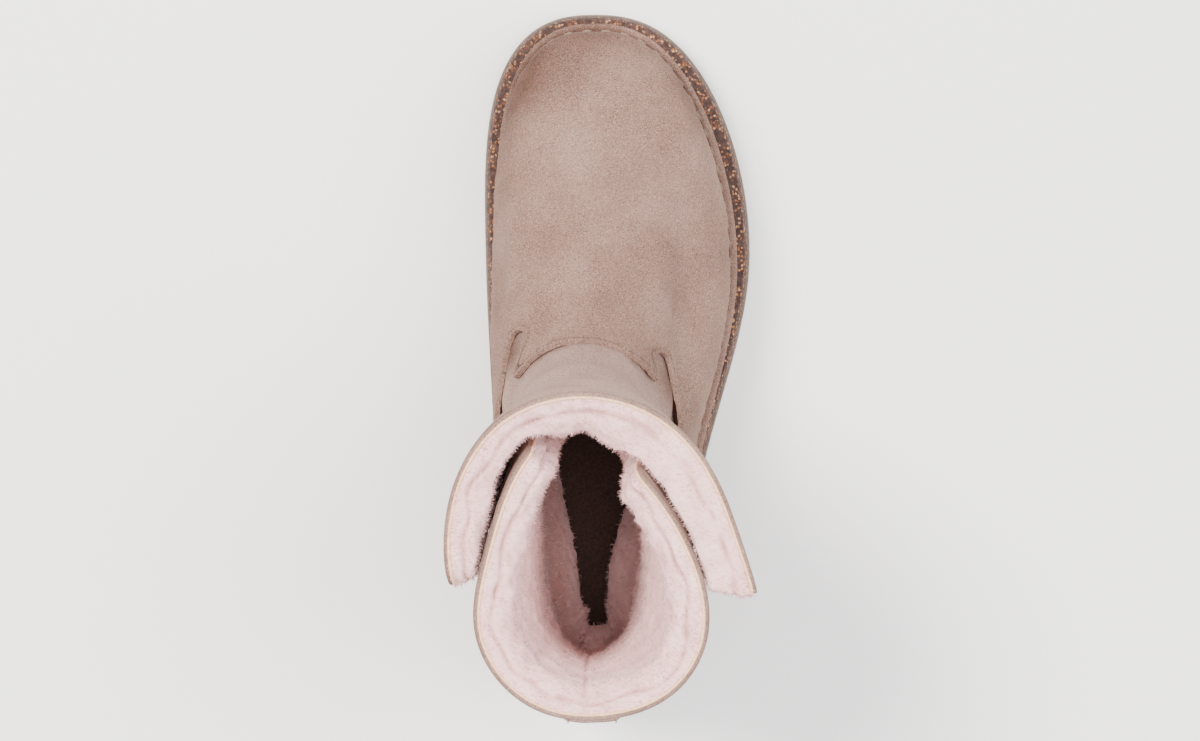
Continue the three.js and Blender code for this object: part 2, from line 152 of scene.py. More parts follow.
BACK_RINGS = table(RING_COLUMNS, [
    (12, 126, 128, 130, 46, 41, 37.5, 38, 0, -0.5, -4, 1),  # back calf
    (8, 181, 116, 179, 50, 47.2, 38.2, 31, 0.3, -2, -9, 1),  # back collar
])
ANKLE = len(FOOT_RINGS) - 1
COLLAR = ANKLE + 2


def ring_point(ring, u):
    """Point of a ring at share u of the way round, from the heel over the lateral side.

    With a = 2 pi u and s = (1 - cos a) / 2: y = back + (front - back) s, and
    x = shift(s) + width(s) sign(sin a) |sin a|^power."""
    angle = 2 * np.pi * np.asarray(u, float)
    along = (1 - np.cos(angle)) / 2
    y = lerp(ring["back"], ring["front"], along)
    width = through(STATIONS, [ring[name] for name in WIDTHS], along)
    shift = through(STATIONS, [0, *(ring[name] for name in SHIFTS)], along)
    side = np.sin(angle)
    x = shift + width * np.sign(side) * np.abs(side) ** ring["power"]
    return np.stack([x, y, seat(y) + lerp(ring["backUp"], ring["frontUp"], along)])


def loft(rings):
    """The smooth surface through a stack of rings: form(u, t), with t = 0, 1, 2... on the rings."""
    def form(u, t):
        u, t = np.broadcast_arrays(np.asarray(u, float), np.asarray(t, float))
        points = np.stack([ring_point(ring, u) for ring in rings])
        return np.stack([through(range(len(rings)), points[:, i], t) for i in range(3)], -1)
    return form


def outward_normal(form, u, t):
    """Unit normal of form(u, t), from the cross product of its two tangents."""
    along = form(u + 0.004, t) - form(u - 0.004, t)
    up = form(u, t + 0.04) - form(u, np.maximum(0, t - 0.04))
    normal = np.cross(along, up)
    return normal / np.linalg.norm(normal, axis=-1, keepdims=True)


def inside(form, u, t, depth):
    """form(u, t) moved `depth` mm inwards along its normal."""
    u, t = np.broadcast_arrays(np.asarray(u, float), np.asarray(t, float))
    return form(u, t) - outward_normal(form, u, t) * np.asarray(depth, float)[..., None]


foot_form = loft([*FOOT_RINGS, FRONT_RINGS[0]])
front_form = loft([*FOOT_RINGS, *FRONT_RINGS])
back_form = loft([*FOOT_RINGS, *BACK_RINGS])


def inset_ring(ring, inset):
    """A ring drawn in by `inset` mm at both ends and on both sides."""
    drawn = {name: ring[name] - inset for name in WIDTHS}
    return {**ring, **drawn, "back": ring["back"] + inset, "front": ring["front"] - inset}


# The frame's origin is under the middle of the boot's box, so one shift carries the last into it.
sole_low, sole_high = (np.array(corner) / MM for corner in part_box("outsole"))
rubber_inset = CORK_INSET - DRAFT * CORK_FOREFOOT - SOLE_LEDGE
widest = ring_point(inset_ring(SOLE_EDGE, rubber_inset), np.arange(64) / 64)[0].max()
middle = (sole_low[1] + sole_high[1]) / 2
SHIFT = np.array([sole_high[0] - widest, middle - SOLE_LENGTH / 2 - SOLE_FROM, 0])
print("last to frame, mm:", SHIFT.round(2))

# %% [markdown]
# ## From arrays to meshes
#
# Each surface is a grid of points. Small helpers number its faces, weld seams and poles, and hand
# the whole array to Blender at once, which is far quicker than adding vertices one by one.


# %% Mesh helpers
def grid_faces(rows, columns, wrap=False):
    """Quads of a grid of points numbered row by row; wrap joins the last column to the first."""
    across = columns if wrap else columns - 1
    i, j = np.meshgrid(np.arange(rows - 1), np.arange(across), indexing="ij")
    nxt = (j + 1) % columns
    quads = [i * columns + j, i * columns + nxt, (i + 1) * columns + nxt, (i + 1) * columns + j]
    return np.stack(quads, -1).reshape(-1, 4)


def triangles(quads):
    """Each quad as two triangles."""
    return np.concatenate([quads[:, [0, 1, 2]], quads[:, [0, 2, 3]]])


def weld(points, faces, within=0.002):
    """Merges points in one cell of `within` mm; drops faces that collapse or lie back to back.

    Returns the points still in use, the faces, and which of the given points each one was."""
    keys = np.round(points / within).astype(np.int64)
    _, first, number = np.unique(keys, axis=0, return_index=True, return_inverse=True)
    faces = number.reshape(-1)[faces]
    a, b, c = faces.T
    faces = faces[(a != b) & (b != c) & (a != c)]
    _, kind, times = np.unique(
        np.sort(faces, axis=1), axis=0, return_inverse=True, return_counts=True)
    used, faces = np.unique(faces[times[kind.reshape(-1)] == 1], return_inverse=True)
    return points[first[used]], faces.reshape(-1, 3), first[used]


def piece(name, points, faces, material, stands_for=(), tone=None, sharp=None):
    """A finished mesh object of triangles, with its points in the last's mm, riding on the body.

    tone is a shade for each point; edges of more than `sharp` degrees are not smoothed."""
    mesh = bpy.data.meshes.new(name)
    mesh.vertices.add(len(points))
    mesh.vertices.foreach_set("co", ((points + SHIFT) * MM).astype(np.float32).ravel())
    mesh.loops.add(faces.size)
    mesh.loops.foreach_set("vertex_index", faces.astype(np.int32).ravel())
    mesh.polygons.add(len(faces))
    mesh.polygons.foreach_set("loop_start", np.arange(0, faces.size, 3, dtype=np.int32))
    mesh.polygons.foreach_set("use_smooth", np.ones(len(faces), bool))
    if tone is not None:
        shade = mesh.attributes.new("tone", "FLOAT", "POINT")
        shade.data.foreach_set("value", tone.astype(np.float32).ravel())
    mesh.update(calc_edges=True)
    mesh.validate()
    if sharp:
        mesh.set_sharp_from_angle(angle=np.radians(sharp))
    mesh.materials.append(material)
    obj = bpy.data.objects.new(name, mesh)
    bpy.context.scene.collection.objects.link(obj)
    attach(obj, "root")
    if stands_for:
        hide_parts(*stands_for)
    print(f"{name}: {len(points)} points, {len(faces)} faces")


def normals_of(points, wrap=False):
    """Unit normals of a grid[row, column] of points, from the cross product of its differences."""
    if wrap:
        across = np.roll(points, -1, 1) - np.roll(points, 1, 1)
    else:
        across = np.gradient(points, axis=1)
    normal = np.cross(across, np.gradient(points, axis=0))
    return normal / np.maximum(np.linalg.norm(normal, axis=-1, keepdims=True), 1e-9)


def shell(faces, count):
    """Faces of a closed wall: an outer skin, its reverse `count` points later, and a rim.

    The rim runs along the directed edges whose reverse is in no face."""
    edges = np.concatenate([faces[:, [0, 1]], faces[:, [1, 2]], faces[:, [2, 0]]])
    code = edges[:, 0] * count + edges[:, 1]
    rim = edges[~np.isin(code, edges[:, 1] * count + edges[:, 0])]
    a, b = rim.T
    return np.concatenate([
        faces, faces[:, ::-1] + count,
        np.stack([b, a, a + count], 1), np.stack([b, a + count, b + count], 1),
    ])


SNAP = 0.1  # mm from the cut within which a point counts as on it


def clip(values, faces, height):
    """Cuts triangles along height = 0 and keeps what lies below.

    values has a row of numbers for each point, and a cut edge from a to b gets the row
    a + (b - a) height_a / (height_a - height_b)."""
    height = np.where(np.abs(height) < SNAP, 0, height)
    above = height[faces] > 0
    count = above.sum(1)

    def turned(pick, corner):
        """The picked triangles, started at the given corner."""
        rows = np.arange(len(corner))
        return [faces[pick][rows, (corner + k) % 3] for k in range(3)]

    p, q, r = turned(count == 1, above[count == 1].argmax(1))
    m, n, o = turned(count == 2, (~above[count == 2]).argmax(1))
    cuts = np.concatenate([np.stack(pair, 1) for pair in ((q, p), (r, p), (m, n), (m, o))])
    pairs, number = np.unique(cuts, axis=0, return_inverse=True)
    low, high = pairs.T
    share = (height[low] / (height[low] - height[high]))[:, None]
    values = np.concatenate([values, lerp(values[low], values[high], share)])
    number = len(height) + number.reshape(-1)
    qp, rp, mn, mo = np.split(number, np.cumsum([len(p), len(p), len(m)]))
    kept = np.concatenate([
        faces[count == 0],
        np.stack([q, r, rp], 1), np.stack([q, rp, qp], 1), np.stack([m, mn, mo], 1),
    ])
    return values, kept


def ripple(points, sizes, seed):
    """Smooth random field of about -1 to 1: twice the mean of sines of the given wavelengths."""
    draw = np.random.default_rng(seed)
    waves = draw.normal(size=(len(sizes), 3))
    waves *= (2 * np.pi / np.asarray(sizes, float) / np.linalg.norm(waves, axis=1))[:, None]
    phase = draw.uniform(0, 2 * np.pi, len(sizes))
    return np.sin(points @ waves.T + phase).mean(-1) * 2


# %% [markdown]
# ## Materials
#
# One helper adds a node. Colours are written as sRGB hex values, as a maker's swatch card gives
# them, and one function turns them linear, which is what Blender mixes.


# %% Node helpers
def linear(code):
    """sRGB hex to linear RGBA: c / 12.92 below 0.04045, else ((c + 0.055) / 1.055)^2.4."""
    c = np.array([int(code[i:i + 2], 16) / 255 for i in (1, 3, 5)])
    return (*np.where(c <= 0.04045, c / 12.92, ((c + 0.055) / 1.055) ** 2.4), 1.0)


def add(tree, kind, out, inputs=None, stops=(), **settings):
    """Adds a node with its settings, ramp stops (place, colour), and each input's value or link.

    Returns the output socket named, or numbered, `out`."""
    node = tree.nodes.new("ShaderNode" + kind)
    for name, value in settings.items():
        setattr(node, name, value)
    for key, value in (inputs or {}).items():
        if isinstance(value, bpy.types.NodeSocket):
            tree.links.new(value, node.inputs[key])
        else:
            node.inputs[key].default_value = value
    while stops and len(node.color_ramp.elements) < len(stops):
        node.color_ramp.elements.new(0.5)
    for index, (place, code) in enumerate(stops):
        node.color_ramp.elements[index].position = place
        node.color_ramp.elements[index].color = linear(code)
    return node.outputs[out]


def start(name, **sockets):
    """A new material with uniform values on its Principled shader's own sockets.

    Returns the material, its node tree, its shader and the Object coordinates."""
    material = bpy.data.materials.new(name)
    material.use_nodes = True
    tree = material.node_tree
    shader = tree.nodes["Principled BSDF"]
    for key, value in sockets.items():
        shader.inputs[key.replace("_", " ")].default_value = value
    return material, tree, shader, add(tree, "TexCoord", "Object")


def wire(tree, shader, colour, height, depth_mm, strength):
    """Links a colour to the shader, and a bump of the given depth."""
    depth = {"Height": height, "Distance": depth_mm * MM, "Strength": strength}
    tree.links.new(colour, shader.inputs["Base Color"])
    tree.links.new(add(tree, "Bump", "Normal", depth), shader.inputs["Normal"])


def per(size_mm):
    """A texture's scale for a pattern of that real size."""
    return 1 / (size_mm * MM)


COLOUR = {"data_type": "RGBA"}  # a Mix node's sockets 0, 6 and 7: its factor and two colours
DARKEN = {**COLOUR, "blend_type": "MULTIPLY"}

# %% [markdown]
# ### Suede
#
# Suede is the flesh side of the skin, buffed to a short nap. It has no shine, but its fibres catch
# light at grazing angles (sheen), and each brush stroke leaves lighter and darker patches. The
# "tone" attribute, worked out on the mesh, adds the wear that has its own place on the boot, and
# painted light and shade: painted highlights where light falls, painted shade in folds and notches.


# %% Suede
def suede(name, light, base, dark, speckle):
    """Brushed suede between three shades; speckle is how strongly the nap's dark pin dots show."""
    material, tree, shader, place = start(
        name, Roughness=0.92, Specular_IOR_Level=0.2,
        Sheen_Weight=0.22, Sheen_Roughness=0.45, Sheen_Tint=linear(light))
    brushed = add(tree, "Mapping", "Vector", {"Vector": place, "Scale": (1, 0.4, 0.6)})
    patches = add(tree, "TexNoise", "Fac", {"Vector": place, "Scale": per(26), "Detail": 2})
    strokes = add(tree, "TexNoise", "Fac", {
        "Vector": brushed, "Scale": per(7), "Detail": 3, "Roughness": 0.6})
    nap = add(tree, "TexNoise", "Fac", {
        "Vector": place, "Scale": per(0.55), "Detail": 2, "Roughness": 0.7})
    hairs = add(tree, "TexNoise", "Fac", {"Vector": place, "Scale": per(0.5), "Detail": 1})
    tone = add(tree, "Attribute", "Fac", attribute_name="tone")
    wide = add(tree, "ValToRGB", "Color", {"Fac": patches}, [
        (0.3, dark), (0.5, base), (0.7, light)])
    fine = add(tree, "ValToRGB", "Color", {"Fac": strokes}, [
        (0.25, dark), (0.5, base), (0.75, light)])
    mottle = add(tree, "Mix", 2, {0: 0.35, 6: wide, 7: fine}, **COLOUR)
    dots = add(tree, "MapRange", 0, {0: nap, 1: 0.34, 2: 0.54, 3: speckle, 4: 0})
    dotted = add(tree, "Mix", 2, {0: dots, 6: mottle, 7: linear("#755c51")}, **DARKEN)
    glow = add(tree, "MapRange", 0, {0: hairs, 1: 0.48, 2: 0.68, 3: 0, 4: 0.26})
    napped = add(
        tree, "Mix", 2, {0: glow, 6: dotted, 7: linear("#b39d90")}, **COLOUR, blend_type="SCREEN")
    # Tone below 0 darkens: burnished wear, and painted shade in folds, notches and on the side away
    # from the key light. Tone above 0 lightens: painted highlights, and some lighter patches.
    dusk = add(tree, "MapRange", 0, {0: tone, 1: -1, 2: 0, 3: 0.75, 4: 0})
    burnish_and_painted_shade = add(tree, "Mix", 2, {0: dusk, 6: napped, 7: linear("#8a6c5c")}, **DARKEN)
    lift_and_painted_light = add(tree, "MapRange", 0, {0: tone, 1: 0, 2: 1, 3: 0, 4: 0.6})
    worn_and_painted_light = add(tree, "Mix", 2, {0: lift_and_painted_light, 6: burnish_and_painted_shade, 7: linear(light)}, **COLOUR)
    wire(tree, shader, worn_and_painted_light, nap, 0.15, 0.7)
    return material


FOOT_SUEDE = suede("brushed_suede_pink_taupe", "#8b6f63", "#7e6155", "#6e5248", 0.65)
SHAFT_SUEDE = suede("brushed_suede_grey_taupe", "#998075", "#8b7066", "#7a6056", 0.55)

# %% [markdown]
# ### Wool, raw leather, thread
#
# The wool is sheared lambswool, dyed the palest pink. Its roots and the grooves between its locks
# are painted darker and warmer than its tips, as the shade that falls in them, and so is the wool
# deep on the medial side; the "tone" attribute tells it. The skin's cut edge shows a cream line.
# Leather edge, thread and rubber share one plain matt recipe.

# %% Wool, leather edge and thread
def wool(name):
    """Sheared wool: soft locks, fine crimped strands, and a tone from root (-1) to tip (1), whose
    values below 0 paint shade.
    """
    material, tree, shader, place = start(
        name, Roughness=0.95, Specular_IOR_Level=0.1,
        Sheen_Weight=0.35, Sheen_Roughness=0.6, Sheen_Tint=linear("#fff4f2"))
    locks = add(tree, "TexNoise", "Fac", {
        "Vector": place, "Scale": per(7), "Detail": 3, "Roughness": 0.6})
    strands = add(tree, "TexNoise", "Fac", {
        "Vector": place, "Scale": per(0.7), "Detail": 2, "Roughness": 0.6})
    tone = add(tree, "Attribute", "Fac", attribute_name="tone")
    shades = [(0.3, "#daafad"), (0.5, "#e4bab7"), (0.72, "#ecc6c2")]
    dyed = add(tree, "ValToRGB", "Color", {"Fac": locks}, shades)
    # Painted shade: tone below 0 darkens the wool in its grooves, in the hollows between its lumps
    # and deep on the medial side.
    depth = add(tree, "MapRange", 0, {0: tone, 1: -1, 2: 0, 3: 0.85, 4: 0})
    painted_root_shade = add(tree, "Mix", 2, {0: depth, 6: dyed, 7: linear("#b58a80")}, **DARKEN)
    parted = add(tree, "MapRange", 0, {0: strands, 1: 0.3, 2: 0.55, 3: 0.12, 4: 0})
    fine = add(tree, "Mix", 2, {0: parted, 6: painted_root_shade, 7: linear("#d3aaa3")}, **DARKEN)
    wire(tree, shader, fine, strands, 0.25, 0.5)
    return material


def matt(name, light, dark, size_mm, depth_mm):
    """A matt material that varies between two shades, with a bump of the same size."""
    material, tree, shader, place = start(name, Roughness=0.88, Specular_IOR_Level=0.25)
    spots = add(tree, "TexNoise", "Fac", {
        "Vector": place, "Scale": per(size_mm), "Detail": 3, "Roughness": 0.65})
    shades = add(tree, "ValToRGB", "Color", {"Fac": spots}, [(0.3, dark), (0.7, light)])
    wire(tree, shader, shades, spots, depth_mm, 0.8)
    return material


WOOL = wool("sheared_lambswool_pink")
RAW_LEATHER = matt("raw_leather_edge", "#efc9a6", "#d8a47c", 1.2, 0.15)
THREAD = matt("waxed_polyester_thread", "#96806f", "#6f5b4e", 0.5, 0.1)
PIN_THREAD = matt("sewing_thread_taupe", "#5f483d", "#42302a", 0.5, 0.1)

# %% [markdown]
# ### Cork, rubber and footbed
#
# The midsole is agglomerated cork and rubber: dark brown rubber with granules of tan and orange
# cork. The outsole is moulded rubber, and the footbed is covered with near-black fibre board.


# %% Cork, rubber and footbed
def cork(name):
    """Agglomerated cork: torn cells of about 1.1 mm, some of them coloured, in dark rubber."""
    material, tree, shader, place = start(name, Roughness=0.8, Specular_IOR_Level=0.3)
    swirl = add(tree, "TexNoise", "Color", {"Vector": place, "Scale": per(1.1), "Detail": 2})
    pushed = add(
        tree, "VectorMath", "Vector", {0: swirl, 1: [1.1 * MM] * 3, 2: place},
        operation="MULTIPLY_ADD")
    near = add(tree, "TexVoronoi", "Distance", {"Vector": pushed, "Scale": per(1.1)})
    kind = add(tree, "SeparateColor", 0, {"Color": near.node.outputs["Color"]})
    granule = add(tree, "ValToRGB", "Color", {"Fac": kind}, [
        (0, "#301f1c"), (0.42, "#442e28"), (0.6, "#72432c"), (0.8, "#9a633b"), (1, "#b08868")])
    core = add(tree, "MapRange", 0, {0: near, 1: 0.35, 2: 0.6, 3: 1, 4: 0})
    cloud = add(tree, "TexNoise", "Fac", {"Vector": place, "Scale": per(3), "Detail": 4})
    body = add(tree, "ValToRGB", "Color", {"Fac": cloud}, [(0.3, "#2d1e1c"), (0.7, "#4e3b35")])
    mixed = add(tree, "Mix", 2, {0: core, 6: body, 7: granule}, **COLOUR)
    wire(tree, shader, mixed, near, 0.3, 0.8)
    return material


CORK = cork("cork_rubber_board")
TREAD = matt("moulded_rubber_taupe", "#7f6e62", "#695a50", 2.5, 0.08)
FOOTBED = matt("napped_footbed_black_brown", "#46322b", "#2f211c", 0.9, 0.2)

# %% [markdown]
# ## Sole
#
# The outsole and midsole are lofted across: at each y the section is one closed loop, along the
# bottom, up the lateral side, back over the top and down the medial side. The tread's grooves are a
# height added to the bottom, so they open in the side wall as moulded ones do.


# %% Tread heights
HEEL_GROOVES, FOREFOOT_GROOVES = table(["first", "last", "count", "width", "sweep"], [
    (18, 72, 4, 4.0, -5),
    (156, 246, 7, 4.5, 7),
])


def tread(y):
    """Underside: 0 at heel and ball, ARCH_LIFT at the waist, HEEL_RISE at the back, toe spring."""
    waist = smoothstep(y, 82, 100) * (1 - smoothstep(y, 128, 146))
    return ARCH_LIFT * waist + HEEL_RISE * (1 - smoothstep(y, 0, 14)) + spring(y)


def groove_depth(x, y, edge=0.5):
    """LUG_DEPTH inside a groove, 0 outside it, with a slope `edge` mm wide at its walls."""
    reach = SOLE_LENGTH / 3
    deepest = np.zeros(np.broadcast(x, y).shape)
    for rows in (HEEL_GROOVES, FOREFOOT_GROOVES):
        pitch = (rows["last"] - rows["first"]) / (rows["count"] - 1)
        local = y - rows["sweep"] * (1 - np.abs(x) / reach) - rows["first"]
        nearest = np.clip(np.round(local / pitch), 0, rows["count"] - 1) * pitch
        off = np.abs(local - nearest) - rows["width"] / 2
        deepest = np.maximum(deepest, LUG_DEPTH * (1 - smoothstep(off, -edge, edge)))
    return deepest


# %% Sole loops
def sole_loops(levels, across, lengthways):
    """Loops round the sole's sections, at places u from 0 to 0.5 along both of its sides.

    levels lists (inset, height(y)) from the bottom edge to the top edge."""
    u = np.linspace(0, 0.5, lengthways)
    sides = []
    for inset, height in levels:
        flat = inset_ring(SOLE_EDGE, inset)
        lateral, medial = ring_point(flat, u), ring_point(flat, 1 - u)
        lateral[2], medial[2] = height(lateral[1]), height(medial[1])
        sides.append((lateral.T, medial.T))
    share = np.linspace(0, 1, across)[None, 1:-1, None]
    bottom = lerp(sides[0][1][:, None], sides[0][0][:, None], share)
    top = lerp(sides[-1][0][:, None], sides[-1][1][:, None], share)
    lateral = np.stack([side[0] for side in sides], 1)
    medial = np.stack([side[1] for side in sides[::-1]], 1)
    return np.concatenate([bottom, lateral, top, medial], 1)


def sole_piece(name, loops, material, stands_for):
    """Turns the loops into a closed mesh: rows along the sole, columns round each section."""
    quads = grid_faces(*loops.shape[:2], wrap=True)[:, ::-1]
    points, faces, _ = weld(loops.reshape(-1, 3), triangles(quads))
    piece(name, points, faces, material, stands_for)


def cork_foot(y):
    """Height of the cork's underside."""
    return seat(y) - wedge(CORK_HEEL, CORK_FOREFOOT, y)


rubber_top = lambda y: cork_foot(y) - GAP
rubber_levels = [
    (TREAD_ROUND + 0.4, tread),
    (TREAD_ROUND * 0.55, lambda y: tread(y) + 0.3),
    (TREAD_ROUND / 5, lambda y: tread(y) + 1.4),
    (TREAD_ROUND / 5, lambda y: tread(y) + 3),
    (lerp(TREAD_ROUND / 5, rubber_inset, 0.5), lambda y: lerp(tread(y) + 3, rubber_top(y), 0.5)),
    (rubber_inset - 0.15, lambda y: rubber_top(y) - 0.6),
    (rubber_inset + 0.2, lambda y: rubber_top(y) - 0.1),
    (rubber_inset + 0.9, rubber_top),
]
rubber = sole_loops(rubber_levels, across=26, lengthways=460)
low = rubber[..., 2] < tread(rubber[..., 1]) + LUG_DEPTH
lifted = tread(rubber[..., 1]) + groove_depth(rubber[..., 0], rubber[..., 1])
rubber[..., 2] = np.where(low, np.maximum(rubber[..., 2], lifted), rubber[..., 2])
sole_piece("outsole_tread", rubber, TREAD, ["outsole"])

# %% [markdown]
# The cork board is made the same way. Its side is pitted, since the granules tear when it is cut.

# %% Midsole
cork_foot_inset = rubber_inset + SOLE_LEDGE
cork_levels = [
    (cork_foot_inset + 0.4, cork_foot),
    (cork_foot_inset, lambda y: cork_foot(y) + 0.5),
    (lerp(cork_foot_inset, CORK_INSET, 0.5) - 0.15, lambda y: lerp(cork_foot(y), seat(y), 0.5)),
    (CORK_INSET, lambda y: seat(y) - GAP - 0.6),
    (CORK_INSET + 0.5, lambda y: seat(y) - GAP),
]
board = sole_loops(cork_levels, across=12, lengthways=300)
board[..., :2] += 0.12 * ripple(board, [6, 4, 3, 2.5], 5)[..., None] * [1, 0.3]
sole_piece("midsole_cork", board, CORK, ["midsole"])

# %% [markdown]
# ## Footbed
#
# Only its dark middle shows, deep in the shaft. It is dished a little, as a foot presses it.


# %% Footbed
def feather_line(u, inset, up):
    """The upper's lower outline, `inset` mm inside it and `up` mm above the sole."""
    line = inside(foot_form, u, 0.0, inset)
    line[..., 2] = seat(line[..., 1]) + up
    return line


def footbed():
    """Section loops between the feather line's two sides, dished 1.5 (1 - (2s - 1)^2) mm."""
    u = np.linspace(0, 0.5, 120)[:, None]
    share = np.linspace(0, 1, 20)[None, :, None]
    edge = SUEDE + TUCK + PRESSED_PILE + 2 * GAP
    def across(inset, up):
        return lerp(feather_line(1 - u, inset, up), feather_line(u, inset, up), share)
    under = across(edge, GAP)
    over = across(edge + 1.5, INSOLE_THICK)
    over[..., 2] -= 1.5 * (1 - (2 * share[..., 0] - 1) ** 2)
    rim = [feather_line(side, edge, up) for side, up in ((u, 1.5), (u, INSOLE_THICK - 1))]
    other = [feather_line(1 - side, edge, up) for side, up in ((u, INSOLE_THICK - 1), (u, 1.5))]
    return np.concatenate([under, *rim, over[:, ::-1], *other], 1)


sole_piece("footbed", footbed(), FOOTBED, ["insole"])

# %% [markdown]
# ## Foot upper
#
# The upper is one suede skin that turns out at the bottom into a flange, is stitched down on the
# cork, and ends at the top in a topline with a rounded tab and a notch on each side. It is made as
# one grid round the last, whose points near the topline slide along the surface until they lie on
# it, so the cut edge is smooth. A second skin inside it and a rim between the two make it a closed
# wall, which a cutting boolean would leave ragged.


# %% Topline
def arc(centre, radius, start, stop, count):
    """Points on a circle from one angle to another, in degrees."""
    angle = np.radians(np.linspace(start, stop, count))
    return np.stack([centre[0] + radius * np.cos(angle), centre[1] + radius * np.sin(angle)], 1)


def bend(a, b, c, count):
    """Quadratic curve (1-s)^2 a + 2s(1-s) b + s^2 c, without its first point."""
    s = np.linspace(0, 1, count)[1:, None]
    return (1 - s) ** 2 * np.array(a) + 2 * s * (1 - s) * np.array(b) + s * s * np.array(c)


def topline(tab, notch):
    """One side's topline as (y, z): down the instep, round the tab and the notch, to the heel."""
    return np.concatenate([
        [(172.0, 150.0), (148.0, 117.0), (tab + 2, 103.0)],
        bend((tab + 2, 103), (tab - 2, 99.5), (tab + 2, 98), 12),
        [(notch - 1, 97)],
        arc((notch, 92), 5.0, 90, -90, 24),
        bend((notch, 87), (notch - 11, 87.5), (108, 84), 16),
        bend((108, 84), (60, 75), (-20, 86), 40),
    ])


TOPLINES = {1: topline(130.5, 136), -1: topline(131.5, 144.5)}  # lateral and medial


def above_topline(points):
    """Signed distance in mm to the topline in the side view: positive above it, in the waste."""
    result = np.empty(points.shape[:-1])
    for side, line in TOPLINES.items():
        here = (points[..., 0] > 0) == (side > 0)
        flat = points[here][:, None, 1:]
        a, b = line[:-1], line[1:]
        edge = b - a
        share = np.clip(((flat - a) * edge).sum(-1) / (edge * edge).sum(-1), 0, 1)
        away = flat - a - edge * share[..., None]
        distance = np.hypot(away[..., 0], away[..., 1])
        pick = np.arange(len(flat)), distance.argmin(1)
        turn = edge[pick[1], 0] * away[pick][:, 1] - edge[pick[1], 1] * away[pick][:, 0]
        result[here] = np.where(turn < 0, 1, -1) * distance[pick]
    return result


# %% [markdown]
# ### Creases, wear and painted light
#
# Worn-in folds are listed one by one: each row is a soft trough or ridge with a middle, a direction,
# a half-length, a half-width and a height. Wear, painted light and painted shade are placed the same
# way, as soft spots.

# %% Creases
FOLD_COLUMNS = ["x", "y", "z", "dx", "dy", "dz", "length", "width", "height"]
TONE_SPOT_COLUMNS = ["x", "y", "z", "radius", "tone"]
CREASES = table(FOLD_COLUMNS, [
    (-2, 205, 72, 0.12, 1, -0.4, 42, 5, 0.9),  # ridge down the middle of the vamp
    (19, 145, 104, 0.4, -1, -0.2, 12, 3, 1.3),  # fold over the little-toe side's tab
    (24, 147, 100, 0.4, -1, -0.2, 13, 3, -1.4),
    (-14, 176, 82, 1, 0.45, 0.2, 12, 3.5, -0.7),  # folds where the instep bends
    (12, 168, 86, 1, -0.35, 0.1, 13, 3.5, -0.8),
    (-4, 158, 96, 1, 0.1, 0, 18, 4, -0.6),
    (-30, 168, 60, 0.3, 1, 0.35, 16, 4, -0.8),
    (32, 150, 58, 0.4, 1, 0.3, 22, 5, -1.0),
    (36, 118, 52, 0.1, 1, 0.15, 24, 5, 0.8),
    (-36, 120, 52, 0.1, 1, 0.1, 22, 5, 0.7),
    (20, 232, 52, 1, 0.3, -0.3, 13, 4, -0.6),
    (-20, 238, 50, 1, -0.4, 0.1, 12, 4, -0.6),
    (2, 226, 60, 1, 0.05, 0, 18, 5, -0.5),
    (0, 20, 55, 1, 0, 0, 22, 4, -0.6),  # fold above the heel
    (24, 40, 50, 0.2, 1, 0.1, 16, 5, -0.7),
    (-24, 44, 48, 0.2, 1, -0.1, 16, 5, -0.6),
])
# Tone spots on the upper: burnished wear at the toe, and painted light and shade, a painted
# highlight down the vamp's ridge and painted shade in its folds.
FOOT_WEAR_AND_PAINTED_LIGHT = table(TONE_SPOT_COLUMNS, [
    (-30, 245, 40, 21, -1.5),  # burnished toe corners
    (34, 242, 38, 17, -0.8),
    (0, 268, 40, 22, -0.9),
    (-8, 225, 60, 12, 0.45),  # painted highlight down the ridge in the middle of the vamp
    (-3, 200, 72, 15, 0.5),
    (18, 205, 62, 16, 0.3),
    # painted shade in the folds where the instep bends
    (-12, 185, 80, 10, -0.3),
    (14, 172, 84, 12, -0.2),
    # lighter and darker patches on the sides
    (-28, 205, 50, 16, -0.3),
    (46, 190, 35, 22, 0.2),
    (40, 150, 45, 20, 0.3),
    (-36, 150, 40, 22, 0.1),
    (2, 158, 98, 14, -0.35),  # painted shade in the instep's folds and the tab's fold
    (24, 140, 100, 8, -0.4),
])


def folds(points, rows):
    """Sum of height * exp(-(along / length)^2 - (across / width)^2) over the rows."""
    total = np.zeros(points.shape[:-1])
    for row in rows:
        way = np.array([row["dx"], row["dy"], row["dz"]], float)
        way /= np.linalg.norm(way)
        away = points - [row["x"], row["y"], row["z"]]
        along = away @ way
        across = np.linalg.norm(away - along[..., None] * way, axis=-1)
        far = (along / row["length"]) ** 2 + (across / row["width"]) ** 2
        total += row["height"] * np.exp(-far)
    return total


def tone_spots(points, rows):
    """Sum of tone * exp(-(distance / radius)^2) over the rows, held between -1 and 1."""
    total = np.zeros(points.shape[:-1])
    for row in rows:
        away = np.linalg.norm(points - [row["x"], row["y"], row["z"]], axis=-1)
        total += row["tone"] * np.exp(-((away / row["radius"]) ** 2))
    return np.clip(total, -1, 1)


# %% [markdown]
# ### The upper's skin
#
# The grid starts at the flange's rim, dips into the crease and climbs the wall to the topline,
# where it is clipped. A subdivided cage would give the same bulk, but not a flange this crisp.

